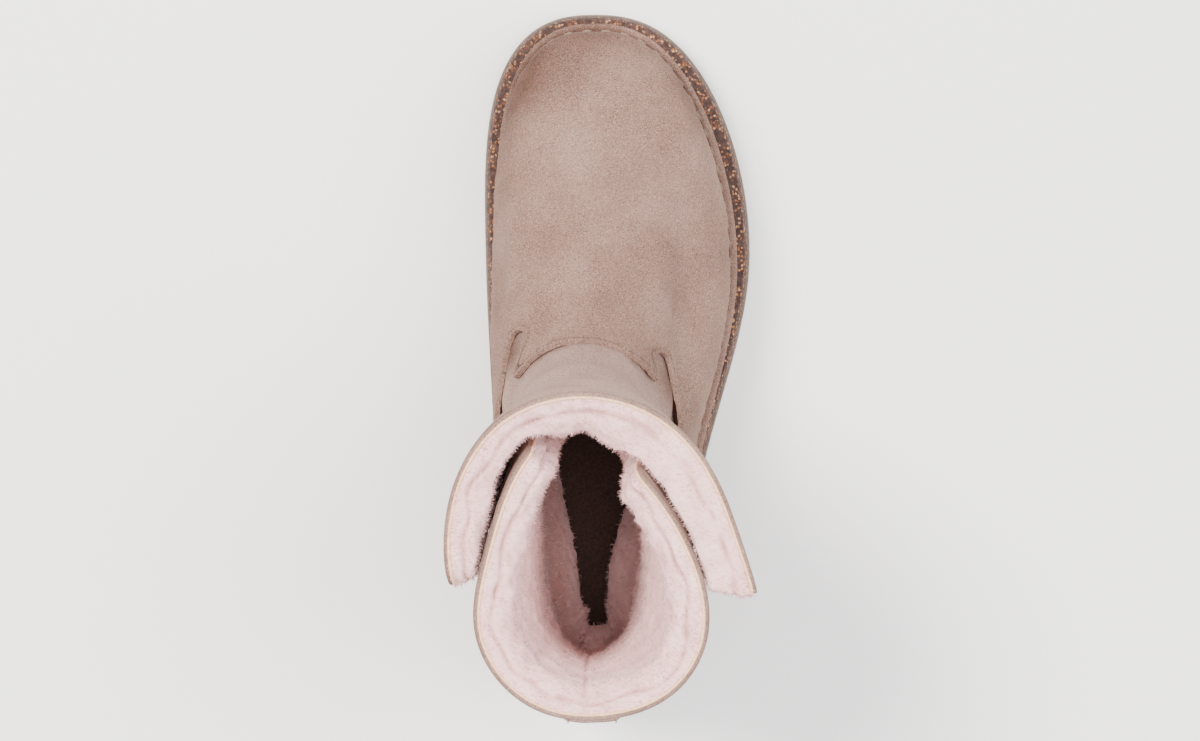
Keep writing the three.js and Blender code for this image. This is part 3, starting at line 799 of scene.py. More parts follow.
# %% Upper
STITCH_INSET = 1.7  # mm from the topline's edge to its stitch row
FLANGE_PITCH = 7.5  # mm between the flange's stitches
FLANGE_FOOT = 0.05  # mm from the cork to the flange
AROUND_UPPER, ON_EDGE = 430, 0.45  # columns, and how close to the topline a point slides on to it
FLANGE_PROFILE = table(["out", "up", "under"], [  # top face from the rim inwards, and underside
    (3.35, 0.1, 3.0), (3.6, 0.6, 2.7), (3.6, 1.3, 2.3), (3.25, 1.9, 1.8), (2.5, 2.1, 1.2),
    (1.5, 1.9, 0.4), (0.3, 1.7, -0.8), (-0.9, 1.2, -1.9), (-2.0, 0.8, -3.2),
])


def slide_to_edge(form, u, t, reach):
    """Moves points within `reach` mm of the topline on to it, along the surface in Newton steps."""
    away = above_topline(form(u, t))
    near = np.abs(away) < reach
    un, tn = u[near].copy(), t[near].copy()
    for _ in range(4):
        height = above_topline(form(un, tn))
        across = (above_topline(form(un + 1e-4, tn)) - height) / 1e-4 / SOLE_GIRTH
        up = (above_topline(form(un, tn + 1e-3)) - height) / 1e-3 / LEVEL_HEIGHT
        step = height / (across**2 + up**2)
        un -= step * across / SOLE_GIRTH
        tn -= step * up / LEVEL_HEIGHT
    good = np.abs(above_topline(form(un, tn))) < 0.05
    good &= np.abs(un - u[near]) * SOLE_GIRTH < 2 * reach
    good &= np.abs(tn - t[near]) * LEVEL_HEIGHT < 2 * reach
    u[near], t[near] = np.where(good, un, u[near]), np.where(good, tn, t[near])
    return u, t


def tuck(points):
    """How far in mm the wall leans in: TUCK near the sole, easing to nothing 26 mm over it."""
    return TUCK * (1 - smoothstep(points[..., 2] - seat(points[..., 1]), 8, 26))


def upper_skin():
    """The upper's outer and inner points, shade, and height over the topline, on one grid.

    Rows go in over the flange to its crease, and up the wall. The wall is foot_form(u, t) moved
    along its normal by the folds, the stitch row's dip and the edge's roll."""
    u = np.arange(AROUND_UPPER) / AROUND_UPPER
    rise = np.concatenate([
        np.linspace(0.06, 0.9, 12), np.linspace(1, 6, 70), np.linspace(6.02, 6.46, 22)])
    wall_u, wall_t = slide_to_edge(foot_form, *np.meshgrid(u, rise), ON_EDGE)
    wall = foot_form(wall_u, wall_t)
    height = above_topline(wall)
    normal = outward_normal(foot_form, wall_u, wall_t)
    over_sole = wall[..., 2] - seat(wall[..., 1])
    ease = smoothstep(over_sole, 1, 9)
    soft = 0.35 * ripple(wall, [38, 30, 24, 19], 11) + 0.12 * ripple(wall, [9, 7, 6], 12)
    dip = 0.28 * np.exp(-(((height + STITCH_INSET) / 0.55) ** 2))
    dip += 0.3 * np.exp(-((height / 0.6) ** 2))
    outer = wall + normal * ((folds(wall, CREASES) + soft) * ease - dip - tuck(wall))[..., None]
    inner = outer - normal * (SUEDE - 0.15)
    flange = np.stack([feather_line(u, -row["out"], row["up"]) for row in FLANGE_PROFILE])
    under = np.stack([feather_line(u, -row["under"], FLANGE_FOOT) for row in FLANGE_PROFILE])
    wave = np.cos(2 * np.pi * u * round(SOLE_GIRTH / FLANGE_PITCH))
    flange[..., 2] += 0.22 * wave * np.linspace(1, 0.2, len(flange))[:, None]
    outer += normal * (0.3 * wave * np.exp(-(((over_sole - 3) / 3) ** 2)))[..., None]
    grid = np.concatenate([flange, outer])
    height = np.concatenate([np.full(flange.shape[:2], -99.0), height])
    tone = tone_spots(grid, FOOT_WEAR_AND_PAINTED_LIGHT) - 0.55 * np.exp(-(((height + STITCH_INSET) / 0.5) ** 2))
    tone[2:5] += 0.3  # painted highlight on the flange's top edge
    tone[6:13] -= 0.8  # its crease holds shadow and dust
    return grid, np.concatenate([under, inner]), np.clip(tone, -1, 1), height


outer, inner, tone, height = upper_skin()
values = np.concatenate([outer, inner, tone[..., None]], -1).reshape(-1, 7)
faces = triangles(grid_faces(*tone.shape, wrap=True))
values, faces = clip(values, faces, height.ravel())
_, faces, first = weld(values[:, :3], faces, 0.02)
values = values[first]
piece(
    "upper_suede", np.concatenate([values[:, :3], values[:, 3:6]]), shell(faces, len(values)),
    FOOT_SUEDE, ["upper"], np.tile(values[:, 6], 2), sharp=60,
)

# %% [markdown]
# ## Foot lining
#
# The upper is lined with the same wool as the shaft. It stands about 11 mm thick, is pressed flat
# beside the footbed, and ends on the sloping plane where the shaft's panels begin.


# %% Wool helpers
def lap_plane(points, shift=0.0):
    """Height of points over the sloping plane on which the shaft's panels stand."""
    return points[..., 2] - (LAP_HEEL + shift + LAP_SLOPE * points[..., 1])


def first_above(at, values):
    """For each column, where in `at` its values first rise through zero, by straight lines."""
    row = np.maximum((values > 0).argmax(0), 1)
    column = np.arange(values.shape[1])
    low, high = values[row - 1, column], values[row, column]
    return lerp(at[row - 1], at[row], np.clip(low / (low - high), 0, 1))


def lumps(points, seed):
    """Soft tufts of sheared wool in mm: ripples about 15, 8, 5 and 3 mm long."""
    big = 0.5 * ripple(points, [19, 15, 13, 11], seed)
    big += 0.3 * ripple(points, [9, 8, 7, 6.5], seed + 1)
    small = 0.18 * ripple(points, [5.5, 5, 4.4, 4], seed + 2)
    small += 0.12 * ripple(points, [3, 2.6, 2.3], seed + 3)
    return big + small


def deep_shade(points):
    """Painted shade on the wool deep on the medial side, where the key light does not reach: -0.75
    below 105 mm, and 0 from 175 mm.
    """
    return -0.75 * smoothstep(-points[..., 0], 0, 16) * (1 - smoothstep(points[..., 2], 105, 175))


# %% [markdown]
# ### Wool round the heel
#
# Seen from above, wool nearly closes over the footbed's heel. The lining's face is pushed in there
# by a table of gaps, as a sculptor would with a grab brush, but the same way on each run.

# %% Wool round the heel
HEEL_GAP = table(["y", "half", "middle"], [
    (20, 4.5, 2), (30, 4.5, 2), (38, 4.8, 0.8), (57, 6.2, 0), (70, 9, 0.5), (84, 13, 1),
    (96, 15, 1), (112, 18, 1), (130, 40, 1),
])


def crowd(points):
    """Pushes the heel's wool in from both sides and from behind, as the tight counter squeezes it.

    x goes towards the gap's middle until it is `half` mm away, and y is moved 15 mm forward at the
    very back. The push fades out towards the lap plane and close to the footbed."""
    x, y = points[..., 0], points[..., 1]
    up = points[..., 2] - seat(y)
    rise = np.clip(up / (up - lap_plane(points)), 0, 1)
    push = smoothstep(up, INSOLE_THICK - 1, INSOLE_THICK + 5) * (1 - smoothstep(rise, 0.3, 1))
    at = [row["y"] for row in HEEL_GAP]
    half = np.interp(y, at, [row["half"] for row in HEEL_GAP]) + 0.5 * ripple(points, [9, 6, 4], 67)
    middle = np.interp(y, at, [row["middle"] for row in HEEL_GAP])
    from_middle = x - middle
    share = np.minimum(1, half / np.maximum(np.abs(from_middle), 1e-6))
    moved = points.copy()
    moved[..., 0] = middle + from_middle * lerp(1, share, push)
    moved[..., 1] += 15 * push * (1 - smoothstep(y, 18, 48))
    return moved


# %% Foot lining
LINING_COLUMNS, LINING_ROWS = 300, 46


def foot_lining():
    """A ring-shaped tube: up the hidden face against the suede and down the wool's open face."""
    u = np.arange(LINING_COLUMNS) / LINING_COLUMNS
    at = np.linspace(1, 6.2, 80)
    levels = np.linspace(0, 1, LINING_ROWS)[:, None]

    def face(low, depth):
        probe = inside(foot_form, u[None], at[:, None], depth(foot_form(u[None], at[:, None])))
        t = lerp(low, first_above(at, lap_plane(probe, -GAP)), levels)
        return inside(foot_form, u, t, depth(foot_form(u, t))), t

    def pile(point):
        up = point[..., 2] - seat(point[..., 1])
        open_up = smoothstep(up, INSOLE_THICK + 0.5, INSOLE_THICK + 4)
        thick = lerp(PRESSED_PILE, PILE, open_up)
        return SUEDE + tuck(point) + thick + (SUEDE + LAP_GAP) * smoothstep(up, 12, 26)

    hidden, _ = face(0.3, lambda point: SUEDE + 0.1 + tuck(point))
    open_face, t = face(0.35, pile)
    inward = -outward_normal(foot_form, u, t)
    fade = smoothstep(levels, 0.1, 0.3) * (1 - smoothstep(levels, 0.85, 1))
    open_face += inward * (lumps(open_face, 61) * fade)[..., None]
    open_face = crowd(open_face)
    return np.concatenate([hidden, open_face[::-1]]), open_face, inward


lining, lining_face, lining_out = foot_lining()
lining = np.concatenate([lining, lining[:1]])
points, faces, _ = weld(lining.reshape(-1, 3), triangles(grid_faces(*lining.shape[:2], wrap=True)))
piece("foot_lining_wool", points, faces, WOOL, (), deep_shade(points))

# %% [markdown]
# ## Shaft panels
#
# Each panel is one sheepskin cut to a sector of the shaft, suede out and wool in. A place on it is
# given by k, from -1 at one front edge to 1 at the other, and by its distance down from the collar.
# Rows and columns crowd towards the free edges, where the wool rounds over.

# %% Panel tables
# For each panel: how far its edges reach round the ring at level t, the k in its middle, its sides
# for k < 0 and k > 0 with the radius of their collar corner in mm, its levels t with their heights
# in mm, the k of its wool's seam, the extra length of its wool and its depth inside the form.
PILE_EDGE, SIDE_EDGE = 8.0, 4.0  # mm in which the wool rises to its full height
UNDER_FLAP = 3.8
EDGE_COLUMNS = ["t", "lateral", "medial"]
FRONT_PANEL = {
    "form": front_form,
    "edges": table(EDGE_COLUMNS, [
        (5, 0.2, 0.2), (6, 0.195, 0.195), (7, 0.22, 0.22), (8, 0.258, 0.263),
    ]),
    "middle": 0.5,
    "sides": ("lateral", "medial"),
    "corner": (3, 11),
    "levels": ([4.6, 5, 6, 8], [0, 15, 53, 149]),
    "seam": 9,  # none
    "extra": lambda k: np.interp(k, [-1, -0.85, -0.3, 0, 0.5, 0.8], [4, 8.5, 8, 2.5, 1.5, 0]),
    "outset": lambda k, t: SUEDE + LAP_GAP + 0 * k * t,
}
BACK_PANEL = {
    "form": back_form,
    "edges": table(EDGE_COLUMNS, [
        (3, 0.285, 0.285), (4, 0.304, 0.304), (5, 0.35, 0.35), (6, 0.39, 0.4), (8, 0.376, 0.41),
    ]),
    "middle": 0.0,
    "sides": ("medial", "lateral"),
    "corner": (6, 6),
    "levels": ([3, 6, 8], [0, 38, 140]),
    "seam": -0.03,
    "extra": lambda k: 0 * k,
    "outset": lambda k, t: SUEDE + LAP_GAP + UNDER_FLAP * smoothstep(np.abs(k), 0.7, 0.92) * (
        1 - smoothstep(t, ANKLE + 0.2, ANKLE + 1.4)),
}


# %% Panel places
def edge_at(panel, k, t):
    """How far round the ring the panel's edge on k's side is at level t, as a share of the ring."""
    at = [row["t"] for row in panel["edges"]]
    first, last = (through(at, [row[side] for row in panel["edges"]], t) for side in panel["sides"])
    return np.where(k > 0, last, first)


def rim_steps(length, step):
    """Distances from an edge: PILE_EDGE (1 - cos a) round the wool's rim, then even steps."""
    rim = PILE_EDGE * (1 - np.cos(np.linspace(0, np.pi / 2, 19)))
    count = round((length - PILE_EDGE) / step)
    return np.concatenate([rim, np.linspace(PILE_EDGE, length, count)[1:]])


def columns_of(panel, step):
    """The panel's k values, and each one's distance in mm from its own side edge."""
    collar = panel["edges"][-1]
    first, last = (rim_steps(collar[side] * SHAFT_GIRTH, step) for side in panel["sides"])
    last, reach = last[-2::-1], last[-1]
    return np.concatenate([-1 + first / first[-1], 1 - last / reach]), np.concatenate([first, last])


def panel_rows(panel, k, from_side, step, depth):
    """Levels t of rows from the collar down to the lap plane, and their distances from the collar.

    The collar drops by r - sqrt(r^2 - (r - from_side)^2) within r mm of a side, a round corner."""
    at, height = panel["levels"]
    corner = np.where(k > 0, panel["corner"][1], panel["corner"][0])
    short = np.maximum(0, corner - from_side)
    top = height[-1] - (corner - np.sqrt(corner**2 - short**2))
    probe_t = np.linspace(at[0], COLLAR - 0.5, 100)
    probe = panel_point(panel, k[None], probe_t[:, None], depth)
    foot = np.interp(first_above(probe_t, lap_plane(probe, GAP)), at, height)
    down = rim_steps(height[-1], step)
    rim = down <= PILE_EDGE
    share = np.where(rim, 0, (down - PILE_EDGE) / (down[-1] - PILE_EDGE))[:, None]
    from_top = np.where(rim[:, None], down[:, None], lerp(PILE_EDGE, top - foot, share))
    return np.interp(top - from_top, height, at), from_top


def panel_point(panel, k, t, depth):
    """Point `depth` mm inside the panel's form, swayed by a slow ripple as soft leather is."""
    k, t = np.broadcast_arrays(k, t)
    u = panel["middle"] + k * edge_at(panel, k, t)
    depth = depth(k, t) if callable(depth) else depth
    return swayed(panel["form"], u, t, depth)


def swayed(form, u, t, depth):
    """Point `depth` mm inside a form that is pushed in and out by a slow ripple above the ankle."""
    base = form(u, t)
    sway = 0.55 * ripple(base, [80, 62, 47, 38], 21) * smoothstep(t, 5.6, 6.6)
    return base - outward_normal(form, u, t) * (depth - sway)[..., None]


# %% [markdown]
# ### A panel's layers
#
# The suede is two skins and a rim. The wool is one puffed body behind it, whose open face rises
# steeply at the free edges, as a cut pile does, and parts in a groove where its rim folds over. A
# hair system would show each hair, but this body keeps one closed mesh that can be printed.

# %% Panel layers
SUEDE_STEP = 1.7, 1.5  # mm between the suede's columns and rows
PILE_STEP = 1.1, 1.25  # and the wool's
PARTING = 7.4  # mm from the suede's face to the groove where the wool's rim parts


def layer(panel, columns, step, depth):
    """A grid of points at `depth(k, t)`: returns points, k, t, from_side and from_top."""
    k, from_side = columns
    t, from_top = panel_rows(panel, k, from_side, step, depth)
    points = panel_point(panel, k[None], t, depth)
    k, from_side, _ = np.broadcast_arrays(k[None], from_side[None], t)
    return points, k, t, from_side, from_top


def relief(points, rows, seed):
    """The panel's folds, and a soft unevenness of the skin."""
    soft = 0.22 * ripple(points, [30, 24, 19], seed) + 0.1 * ripple(points, [9, 7, 6], seed + 1)
    return folds(points, rows) + soft


def suede_layer(panel, rows, tone_rows, name, node, seed):
    """The panel's suede: an outer skin with its folds, and an inner one SUEDE mm further in."""
    columns = columns_of(panel, SUEDE_STEP[0])
    grid, _, _, from_side, from_top = layer(panel, columns, SUEDE_STEP[1], panel["outset"])
    outward = -normals_of(grid)
    free = np.minimum(from_side, from_top)
    roll = 0.25 * np.exp(-((free / 0.5) ** 2))
    outer = grid + outward * (relief(grid, rows, seed) * smoothstep(free, 0, 4) - roll)[..., None]
    inner = outer - outward * (SUEDE - 0.1)
    tone = np.clip(tone_spots(grid, tone_rows) - 0.7 * np.exp(-((free / 1.6) ** 2)), -1, 1)
    faces = triangles(grid_faces(*grid.shape[:2])[:, ::-1])
    count = tone.size
    points = np.concatenate([outer.reshape(-1, 3), inner.reshape(-1, 3)])
    shade = np.concatenate([tone.ravel(), np.full(count, 0.2)])
    piece(name, points, shell(faces, count), SHAFT_SUEDE, node, shade, sharp=50)


def rounded(from_side, from_top):
    """a b / (a + b - a b), the way in from both edges: a from the side and b from the collar."""
    a, b = np.clip(from_side / SIDE_EDGE, 0, 1), np.clip(from_top / PILE_EDGE, 0, 1)
    return a * b / np.maximum(a + b - a * b, 1e-6)


def wool_layer(panel, name, seed, room=None):
    """The panel's wool: a hidden back face on the suede, and an open face PILE mm proud of it.

    With s the rounded share of the way in from the edge, it is PILE sqrt(1 - (1 - s)^2) thick. A
    groove follows the rim at PARTING mm, lumps cover the face, and `room` limits the thickness."""
    columns = columns_of(panel, PILE_STEP[0])
    back = lambda k, t: panel["outset"](k, t) + SUEDE - 0.2
    deep = lambda k, t: panel["outset"](k, t) + SUEDE + PILE
    hidden = layer(panel, columns, PILE_STEP[1], back)[0]
    _, k, t, from_side, from_top = layer(panel, columns, PILE_STEP[1], deep)
    share = rounded(from_side, from_top)
    thick = (PILE + 0.2 + panel["extra"](k)) * np.sqrt(1 - (1 - share) ** 2)
    limit = room(panel, k, t) if room else np.full(k.shape, 99.0)
    thick = np.minimum(thick, np.maximum(limit - SUEDE, 0.5))
    face = panel_point(panel, k, t, back(k, t) + thick)
    free = smoothstep(share, 0, 0.12)
    normal = normals_of(face)
    near_rim = 1 - smoothstep(share, 0.5, 0.75)
    parting = PARTING - SUEDE + 0.9 * ripple(face, [31, 22, 14], seed + 7)
    rim = np.exp(-(((thick - parting) / 0.75) ** 2)) * near_rim
    rim *= 0.9 + 0.25 * ripple(face, [17, 11, 8], seed + 8)
    rim += 0.6 * np.exp(-(((k - panel["seam"]) * 110) ** 2)) * smoothstep(thick, 4, 8)
    puff = 0.9 * np.sin(np.pi * np.clip(thick / parting, 0, 1)) * near_rim
    height = (lumps(face, seed) * np.clip(thick / 4, 0.3, 1) + puff - 1.4 * rim) * free
    height *= smoothstep(lap_plane(face, GAP), 0, 6)
    height = np.maximum(np.minimum(height, limit - SUEDE - thick + 0.3), -0.7 * thick)
    open_face = face + normal * height[..., None]
    open_face[0], open_face[:, 0], open_face[:, -1] = hidden[0], hidden[:, 0], hidden[:, -1]
    # Painted shade: darker in the rim's parting groove and the back's seam, in the hollows between
    # the lumps, and deep on the medial side.
    tone = np.clip(-0.8 * rim + 0.2 * lumps(face, seed) + deep_shade(face), -1, 1)
    count = tone.size
    faces = triangles(grid_faces(*tone.shape))
    points = np.concatenate([open_face.reshape(-1, 3), hidden.reshape(-1, 3)])
    points, faces, first = weld(points, shell(faces, count), 0.005)
    piece(name, points, faces, WOOL, (), np.tile(tone.ravel(), 2)[first])
    return open_face, normal, limit


# %% [markdown]
# ### Cream edges
#
# The skin's raw edge shows between suede and wool as a cream line. It is a thin cord swept along
# the free edge, since a painted line would vanish from the side.

# %% Cream edges
def edge_cord(panel, name):
    """The raw edge between suede and wool: a flattened cord carried along the panel's free edge.

    Its section is centre + out (0.5 cos a + 0.1) + across 0.55 sin a, in mm."""
    columns = columns_of(panel, PILE_STEP[0])
    at_edge = lambda k, t: panel["outset"](k, t) + SUEDE + 0.15
    grid = layer(panel, columns, PILE_STEP[1], at_edge)[0]
    path = np.concatenate([grid[:0:-1, 0], grid[0], grid[1:, -1]])
    inner = np.concatenate([grid[:0:-1, 1], grid[1], grid[1:, -2]])
    along = np.gradient(path, axis=0)
    out = path - inner
    out -= along * ((out * along).sum(1) / (along**2).sum(1))[:, None]
    out /= np.linalg.norm(out, axis=1, keepdims=True)
    across = np.cross(along, out)
    across /= np.linalg.norm(across, axis=1, keepdims=True)
    wobble = 0.1 * ripple(path, [9, 6, 4], 77)
    angle = np.linspace(0, 2 * np.pi, 10, endpoint=False)
    rings = (
        path[:, None] + out[:, None] * (0.5 * np.cos(angle)[:, None] + 0.1 + wobble[:, None, None])
        + across[:, None] * (0.55 * np.sin(angle)[:, None])
    )
    faces = triangles(grid_faces(*rings.shape[:2], wrap=True))
    last = (len(rings) - 1) * len(angle)
    cap = np.array([(0, k, k + 1) for k in range(1, len(angle) - 1)])
    faces = np.concatenate([faces, cap[:, ::-1], cap + last])
    piece(name, rings.reshape(-1, 3), faces, RAW_LEATHER)


# %% [markdown]
# ### Back panel
#
# The back panel wraps the heel and calf, and its two arms pass under the front flap.

# %% Back panel
BACK_FOLDS = table(FOLD_COLUMNS, [
    (0, 12, 110, 1, 0, 0.05, 30, 6, -1.0),
    (10, 14, 124, 1, 0.2, -0.1, 26, 5, 0.6),
    (-34, 60, 112, 0.1, 1, -0.2, 26, 6, -0.9),
    (36, 60, 108, 0.1, 1, -0.2, 26, 6, -0.9),
    (-30, 36, 150, 0.3, 1, 0.3, 24, 6, -0.6),
    (30, 36, 160, -0.3, 1, 0.2, 24, 6, -0.6),
])
# Painted light and shade: lighter at the collar and on the medial side, which faces the key light;
# darker on the lateral side and low at the back.
BACK_PAINTED_LIGHT = table(TONE_SPOT_COLUMNS, [
    (0, 8, 190, 22, 0.35), (-40, 60, 150, 26, 0.25), (36, 60, 140, 26, -0.3),
    (0, 12, 100, 24, -0.35),
])
suede_layer(BACK_PANEL, BACK_FOLDS, BACK_PAINTED_LIGHT, "back_panel_suede", ["back_panel"], 31)
back_wool = wool_layer(BACK_PANEL, "back_panel_wool", 41)
edge_cord(BACK_PANEL, "back_panel_edge")

# %% [markdown]
# ### Front flap
#
# The flap stands over the shin, outside the back panel's arms. Where they cross, its wool is
# pressed thin, so its thickness is limited by the distance to the back panel's outer face. A cloth
# simulation could press it too, but a distance gives the same wool on every run.


# %% Room under the flap
arm = np.linspace(0.4, 1, 34)
arm_k, arm_t = np.meshgrid(np.concatenate([-arm[::-1], arm]), np.linspace(3, COLLAR, 60))
ARMS = panel_point(BACK_PANEL, arm_k, arm_t, BACK_PANEL["outset"]).reshape(-1, 3)


def room_under(panel, k, t):
    """Distance from the panel's outer face to the back panel's arms, less a gap.

    The gap is 0.8 mm on the lateral side, and 3.2 to 0.7 mm on the medial one."""
    face = panel_point(panel, k, t, panel["outset"])
    rows = [np.sqrt(((row[:, None] - ARMS[None]) ** 2).sum(-1).min(1)) for row in face]
    return np.stack(rows) - np.interp(k, [-0.5, 0, 0.6, 0.9], [0.8, 3.2, 3.2, 0.7])


# %% Front flap
FLAP_FOLDS = table(FOLD_COLUMNS, [
    (-8, 132, 186, 1, -0.05, 0.05, 30, 4, -1.4),
    (14, 131, 176, 1, -0.1, -0.1, 30, 4.5, 1.2),
    (-4, 134, 165, 1, 0.0, 0.08, 34, 5, -1.5),
    (10, 136, 148, 1, -0.1, -0.05, 30, 6, 1.2),
    (-12, 138, 134, 1, 0.1, 0.1, 26, 5, -1.4),
    (6, 142, 118, 1, 0, 0, 24, 5, 1.2),
    (-40, 110, 170, 0.6, -1, 0.2, 26, 6, -1.2),
    (42, 108, 160, 0.6, 1, 0.2, 26, 6, -1.2),
])
# Painted light and shade: lighter at the collar's top and sides, darker lower down and on the
# lateral side, and painted shadow in the notches.
FLAP_PAINTED_LIGHT = table(TONE_SPOT_COLUMNS, [
    (0, 128, 198, 30, 0.45), (-46, 90, 190, 24, 0.4), (50, 90, 190, 24, 0.4),
    (0, 140, 140, 24, -0.2), (30, 134, 150, 18, -0.25),
    (-33, 141, 89, 8, -1.1), (31, 128, 87, 10, -1.1),  # shadowed in the notches
])
suede_layer(FRONT_PANEL, FLAP_FOLDS, FLAP_PAINTED_LIGHT, "front_flap_suede", ["front_flap"], 51)
flap_wool = wool_layer(FRONT_PANEL, "front_flap_wool", 55, room_under)
edge_cord(FRONT_PANEL, "front_flap_edge")

# %% [markdown]
# ### Back strip
#
# A strip of the same suede covers the seam at the back. It is glued over the panel and held by one
# row of stitches along each side.

# %% Back strip
STRIP_WIDTH, STRIP_THICK, STRIP_FROM = 22.0, 1.6, 5.0
STRIP_SEAM = 0.84  # share of its half-width at which the strip is sewn


def strip_point(side, t, proud):
    """Point of the strip, side from -1 to 1 across it, `proud` mm over the back panel's face."""
    side, t = np.broadcast_arrays(side, t)
    u = side * STRIP_WIDTH / 2 / SHAFT_GIRTH
    point = swayed(back_form, u, t, SUEDE + LAP_GAP - proud)
    lift = relief(point, BACK_FOLDS, 31) * smoothstep((COLLAR - t) * LEVEL_HEIGHT, 0, 4)
    return point + outward_normal(back_form, u, t) * lift[..., None]


def back_strip():
    """Outer face STRIP_THICK (1 - side^16) (1 - end^24) proud less its stitch rows; inner below."""
    side, end = np.linspace(-1, 1, 45)[None], np.linspace(-1, 1, 120)[:, None]
    t = lerp(STRIP_FROM, COLLAR - GAP / LEVEL_HEIGHT, (end + 1) / 2)
    seam = 0.25 * np.exp(-(((np.abs(side) - STRIP_SEAM) / 0.05) ** 2))
    proud = (STRIP_THICK - seam) * (1 - side**16) * (1 - end**24) + LAP_GAP * 0.5
    outer = strip_point(side, t, proud)
    inner = strip_point(side, t, np.full(proud.shape, -0.4))
    faces = triangles(grid_faces(*proud.shape))
    tone = np.clip(0.4 * (np.abs(side) > 0.95) - 2.0 * seam + 0 * end, -1, 1)
    points = np.concatenate([outer.reshape(-1, 3), inner.reshape(-1, 3)])
    piece(
        "back_strip_suede", points, shell(faces, proud.size), SHAFT_SUEDE, ["back_strip"],
        np.tile(tone.ravel(), 2), sharp=60)


back_strip()

# %% [markdown]
# ## Stitches
#
# Each row is one mesh of small capsules. A path is cut into equal steps, and every stitch takes its
# place, its direction and the surface's normal from the path.


# %% Stitch helper
def paced(path, normal, pitch, closed=False):
    """Places every `pitch` mm along a path: points, unit directions and normals."""
    if closed:
        path, normal = np.concatenate([path, path[:1]]), np.concatenate([normal, normal[:1]])
    length = np.concatenate([[0], np.cumsum(np.linalg.norm(np.diff(path, axis=0), axis=1))])
    count = round(length[-1] / pitch)
    at = (np.arange(count) + 0.5) * length[-1] / count
    read = lambda rows, where: np.stack([np.interp(where, length, rows[:, i]) for i in range(3)], 1)
    along = read(path, at + 0.3) - read(path, at - 0.3)
    out = read(normal, at)
    unit = lambda rows: rows / np.linalg.norm(rows, axis=1, keepdims=True)
    return read(path, at), unit(along), unit(out)


def stitches(name, row, length, width, dive, material=THREAD):
    """One capsule of radius width / 2 for each place, its ends diving `dive` mm into the suede.

    The capsule is six-sided: at s from -1 to 1 its centre is s length / 2 along, -dive s^2 out."""
    centre, along, out = row
    side = np.cross(out, along)
    s = np.array([-1, -0.8, -0.3, 0.3, 0.8, 1])[:, None, None]
    girth = np.array([0, 0.75, 1, 1, 0.75, 0])[:, None, None] * width / 2
    angle = np.arange(6)[None, :, None] * np.pi / 3
    ring = lambda vector: vector[:, None, None, :]
    points = (
        ring(centre) + ring(along) * s * length / 2 + ring(side) * np.cos(angle) * girth
        + ring(out) * (np.sin(angle) * girth - dive * s**2)
    )
    one = triangles(grid_faces(6, 6, wrap=True))
    faces = (one[None] + 36 * np.arange(len(centre))[:, None, None]).reshape(-1, 3)
    points, faces, _ = weld(points.reshape(-1, 3), faces, 1e-5)
    piece(name, points, faces, material)


# %% [markdown]
# ### Topline stitches
#
# The row keeps its distance from the cut edge, round the tab and the notch. It is read off the
# upper's own grid as a contour of the height over the topline, so it lies in the skin's dip.

# %% Topline stitches
def contour(points, normals, height, level):
    """Where grid edges cross height = level, each with its point and normal, by straight lines."""
    found = []
    for axis in (0, 1):
        at = np.arange(height.shape[axis] - 1)
        ends = lambda values: (np.take(values, at, axis), np.take(values, at + 1, axis))
        low, high = ends(height)
        hit = (high > level) != (low > level)
        share = ((level - low) / np.where(hit, high - low, 1))[..., None]
        found += [lerp(*ends(values), share)[hit] for values in (points, normals)]
    return np.concatenate(found[::2]), np.concatenate(found[1::2])


def topline_rows():
    """The topline's stitch row on each side, put in order along the outline of the side view."""
    wall = len(FLANGE_PROFILE)
    grid, over = outer[wall:], height[wall:]
    places, out = contour(grid, normals_of(grid, wrap=True), over, -STITCH_INSET)
    for side, line in TOPLINES.items():
        here = (places[:, 0] * side > 0) & (np.abs(places[:, 0]) > 0.3)
        run = np.concatenate([[0], np.cumsum(np.hypot(*np.diff(line, axis=0).T))])
        nearest = np.argmin(((places[here][:, None, 1:] - line[None]) ** 2).sum(-1), 1)
        edge = np.gradient(line, axis=0)[nearest]
        past = ((places[here][:, 1:] - line[nearest]) * edge).sum(1) / np.hypot(*edge.T)
        # Over the instep the row hardly moves in the side view, so there |x| puts it in order.
        from_middle = 0.4 * np.abs(places[here, 0]) * (places[here, 2] > 100)
        order = np.argsort(run[nearest] + past + from_middle)
        path, normal = places[here][order], out[here][order]
        keep = np.concatenate([[True], np.linalg.norm(np.diff(path, axis=0), axis=1) > 0.25])
        yield paced(path[keep], normal[keep], 1.8)


for side, row in zip(("lateral", "medial"), topline_rows()):
    stitches(f"topline_stitches_{side}", row, 0.95, width=0.42, dive=0.18, material=PIN_THREAD)

# %% [markdown]
# The flange is held down by thick, widely spaced stitches, the strip by one finer row on each side.

# %% Flange stitches
u = np.arange(800) / 800
flange_path = feather_line(u, inset=-0.7, up=2.0)
flange_up = np.tile([0.0, 0.0, 1.0], (len(u), 1))
row = paced(flange_path, flange_up, FLANGE_PITCH, closed=True)
stitches("flange_stitches", row, length=4.4, width=1.1, dive=0.8)

# %% Strip stitches
for name, side in (("left", -STRIP_SEAM), ("right", STRIP_SEAM)):
    t = np.linspace(STRIP_FROM + 0.06, COLLAR - 0.05, 200)
    path = strip_point(side, t, np.full(t.shape, STRIP_THICK + 0.1))
    normal = outward_normal(back_form, side * STRIP_WIDTH / 2 / SHAFT_GIRTH, t)
    row = paced(path, normal, pitch=3.0)
    stitches(f"strip_stitches_{name}", row, length=2.1, width=0.6, dive=0.35)

# %% [markdown]
# ## Loose fibres
#
# A sheared pile still has stray hairs, which soften every outline of the wool. They are thin
# three-sided spikes of ten triangles each, all of one area joined in one mesh.


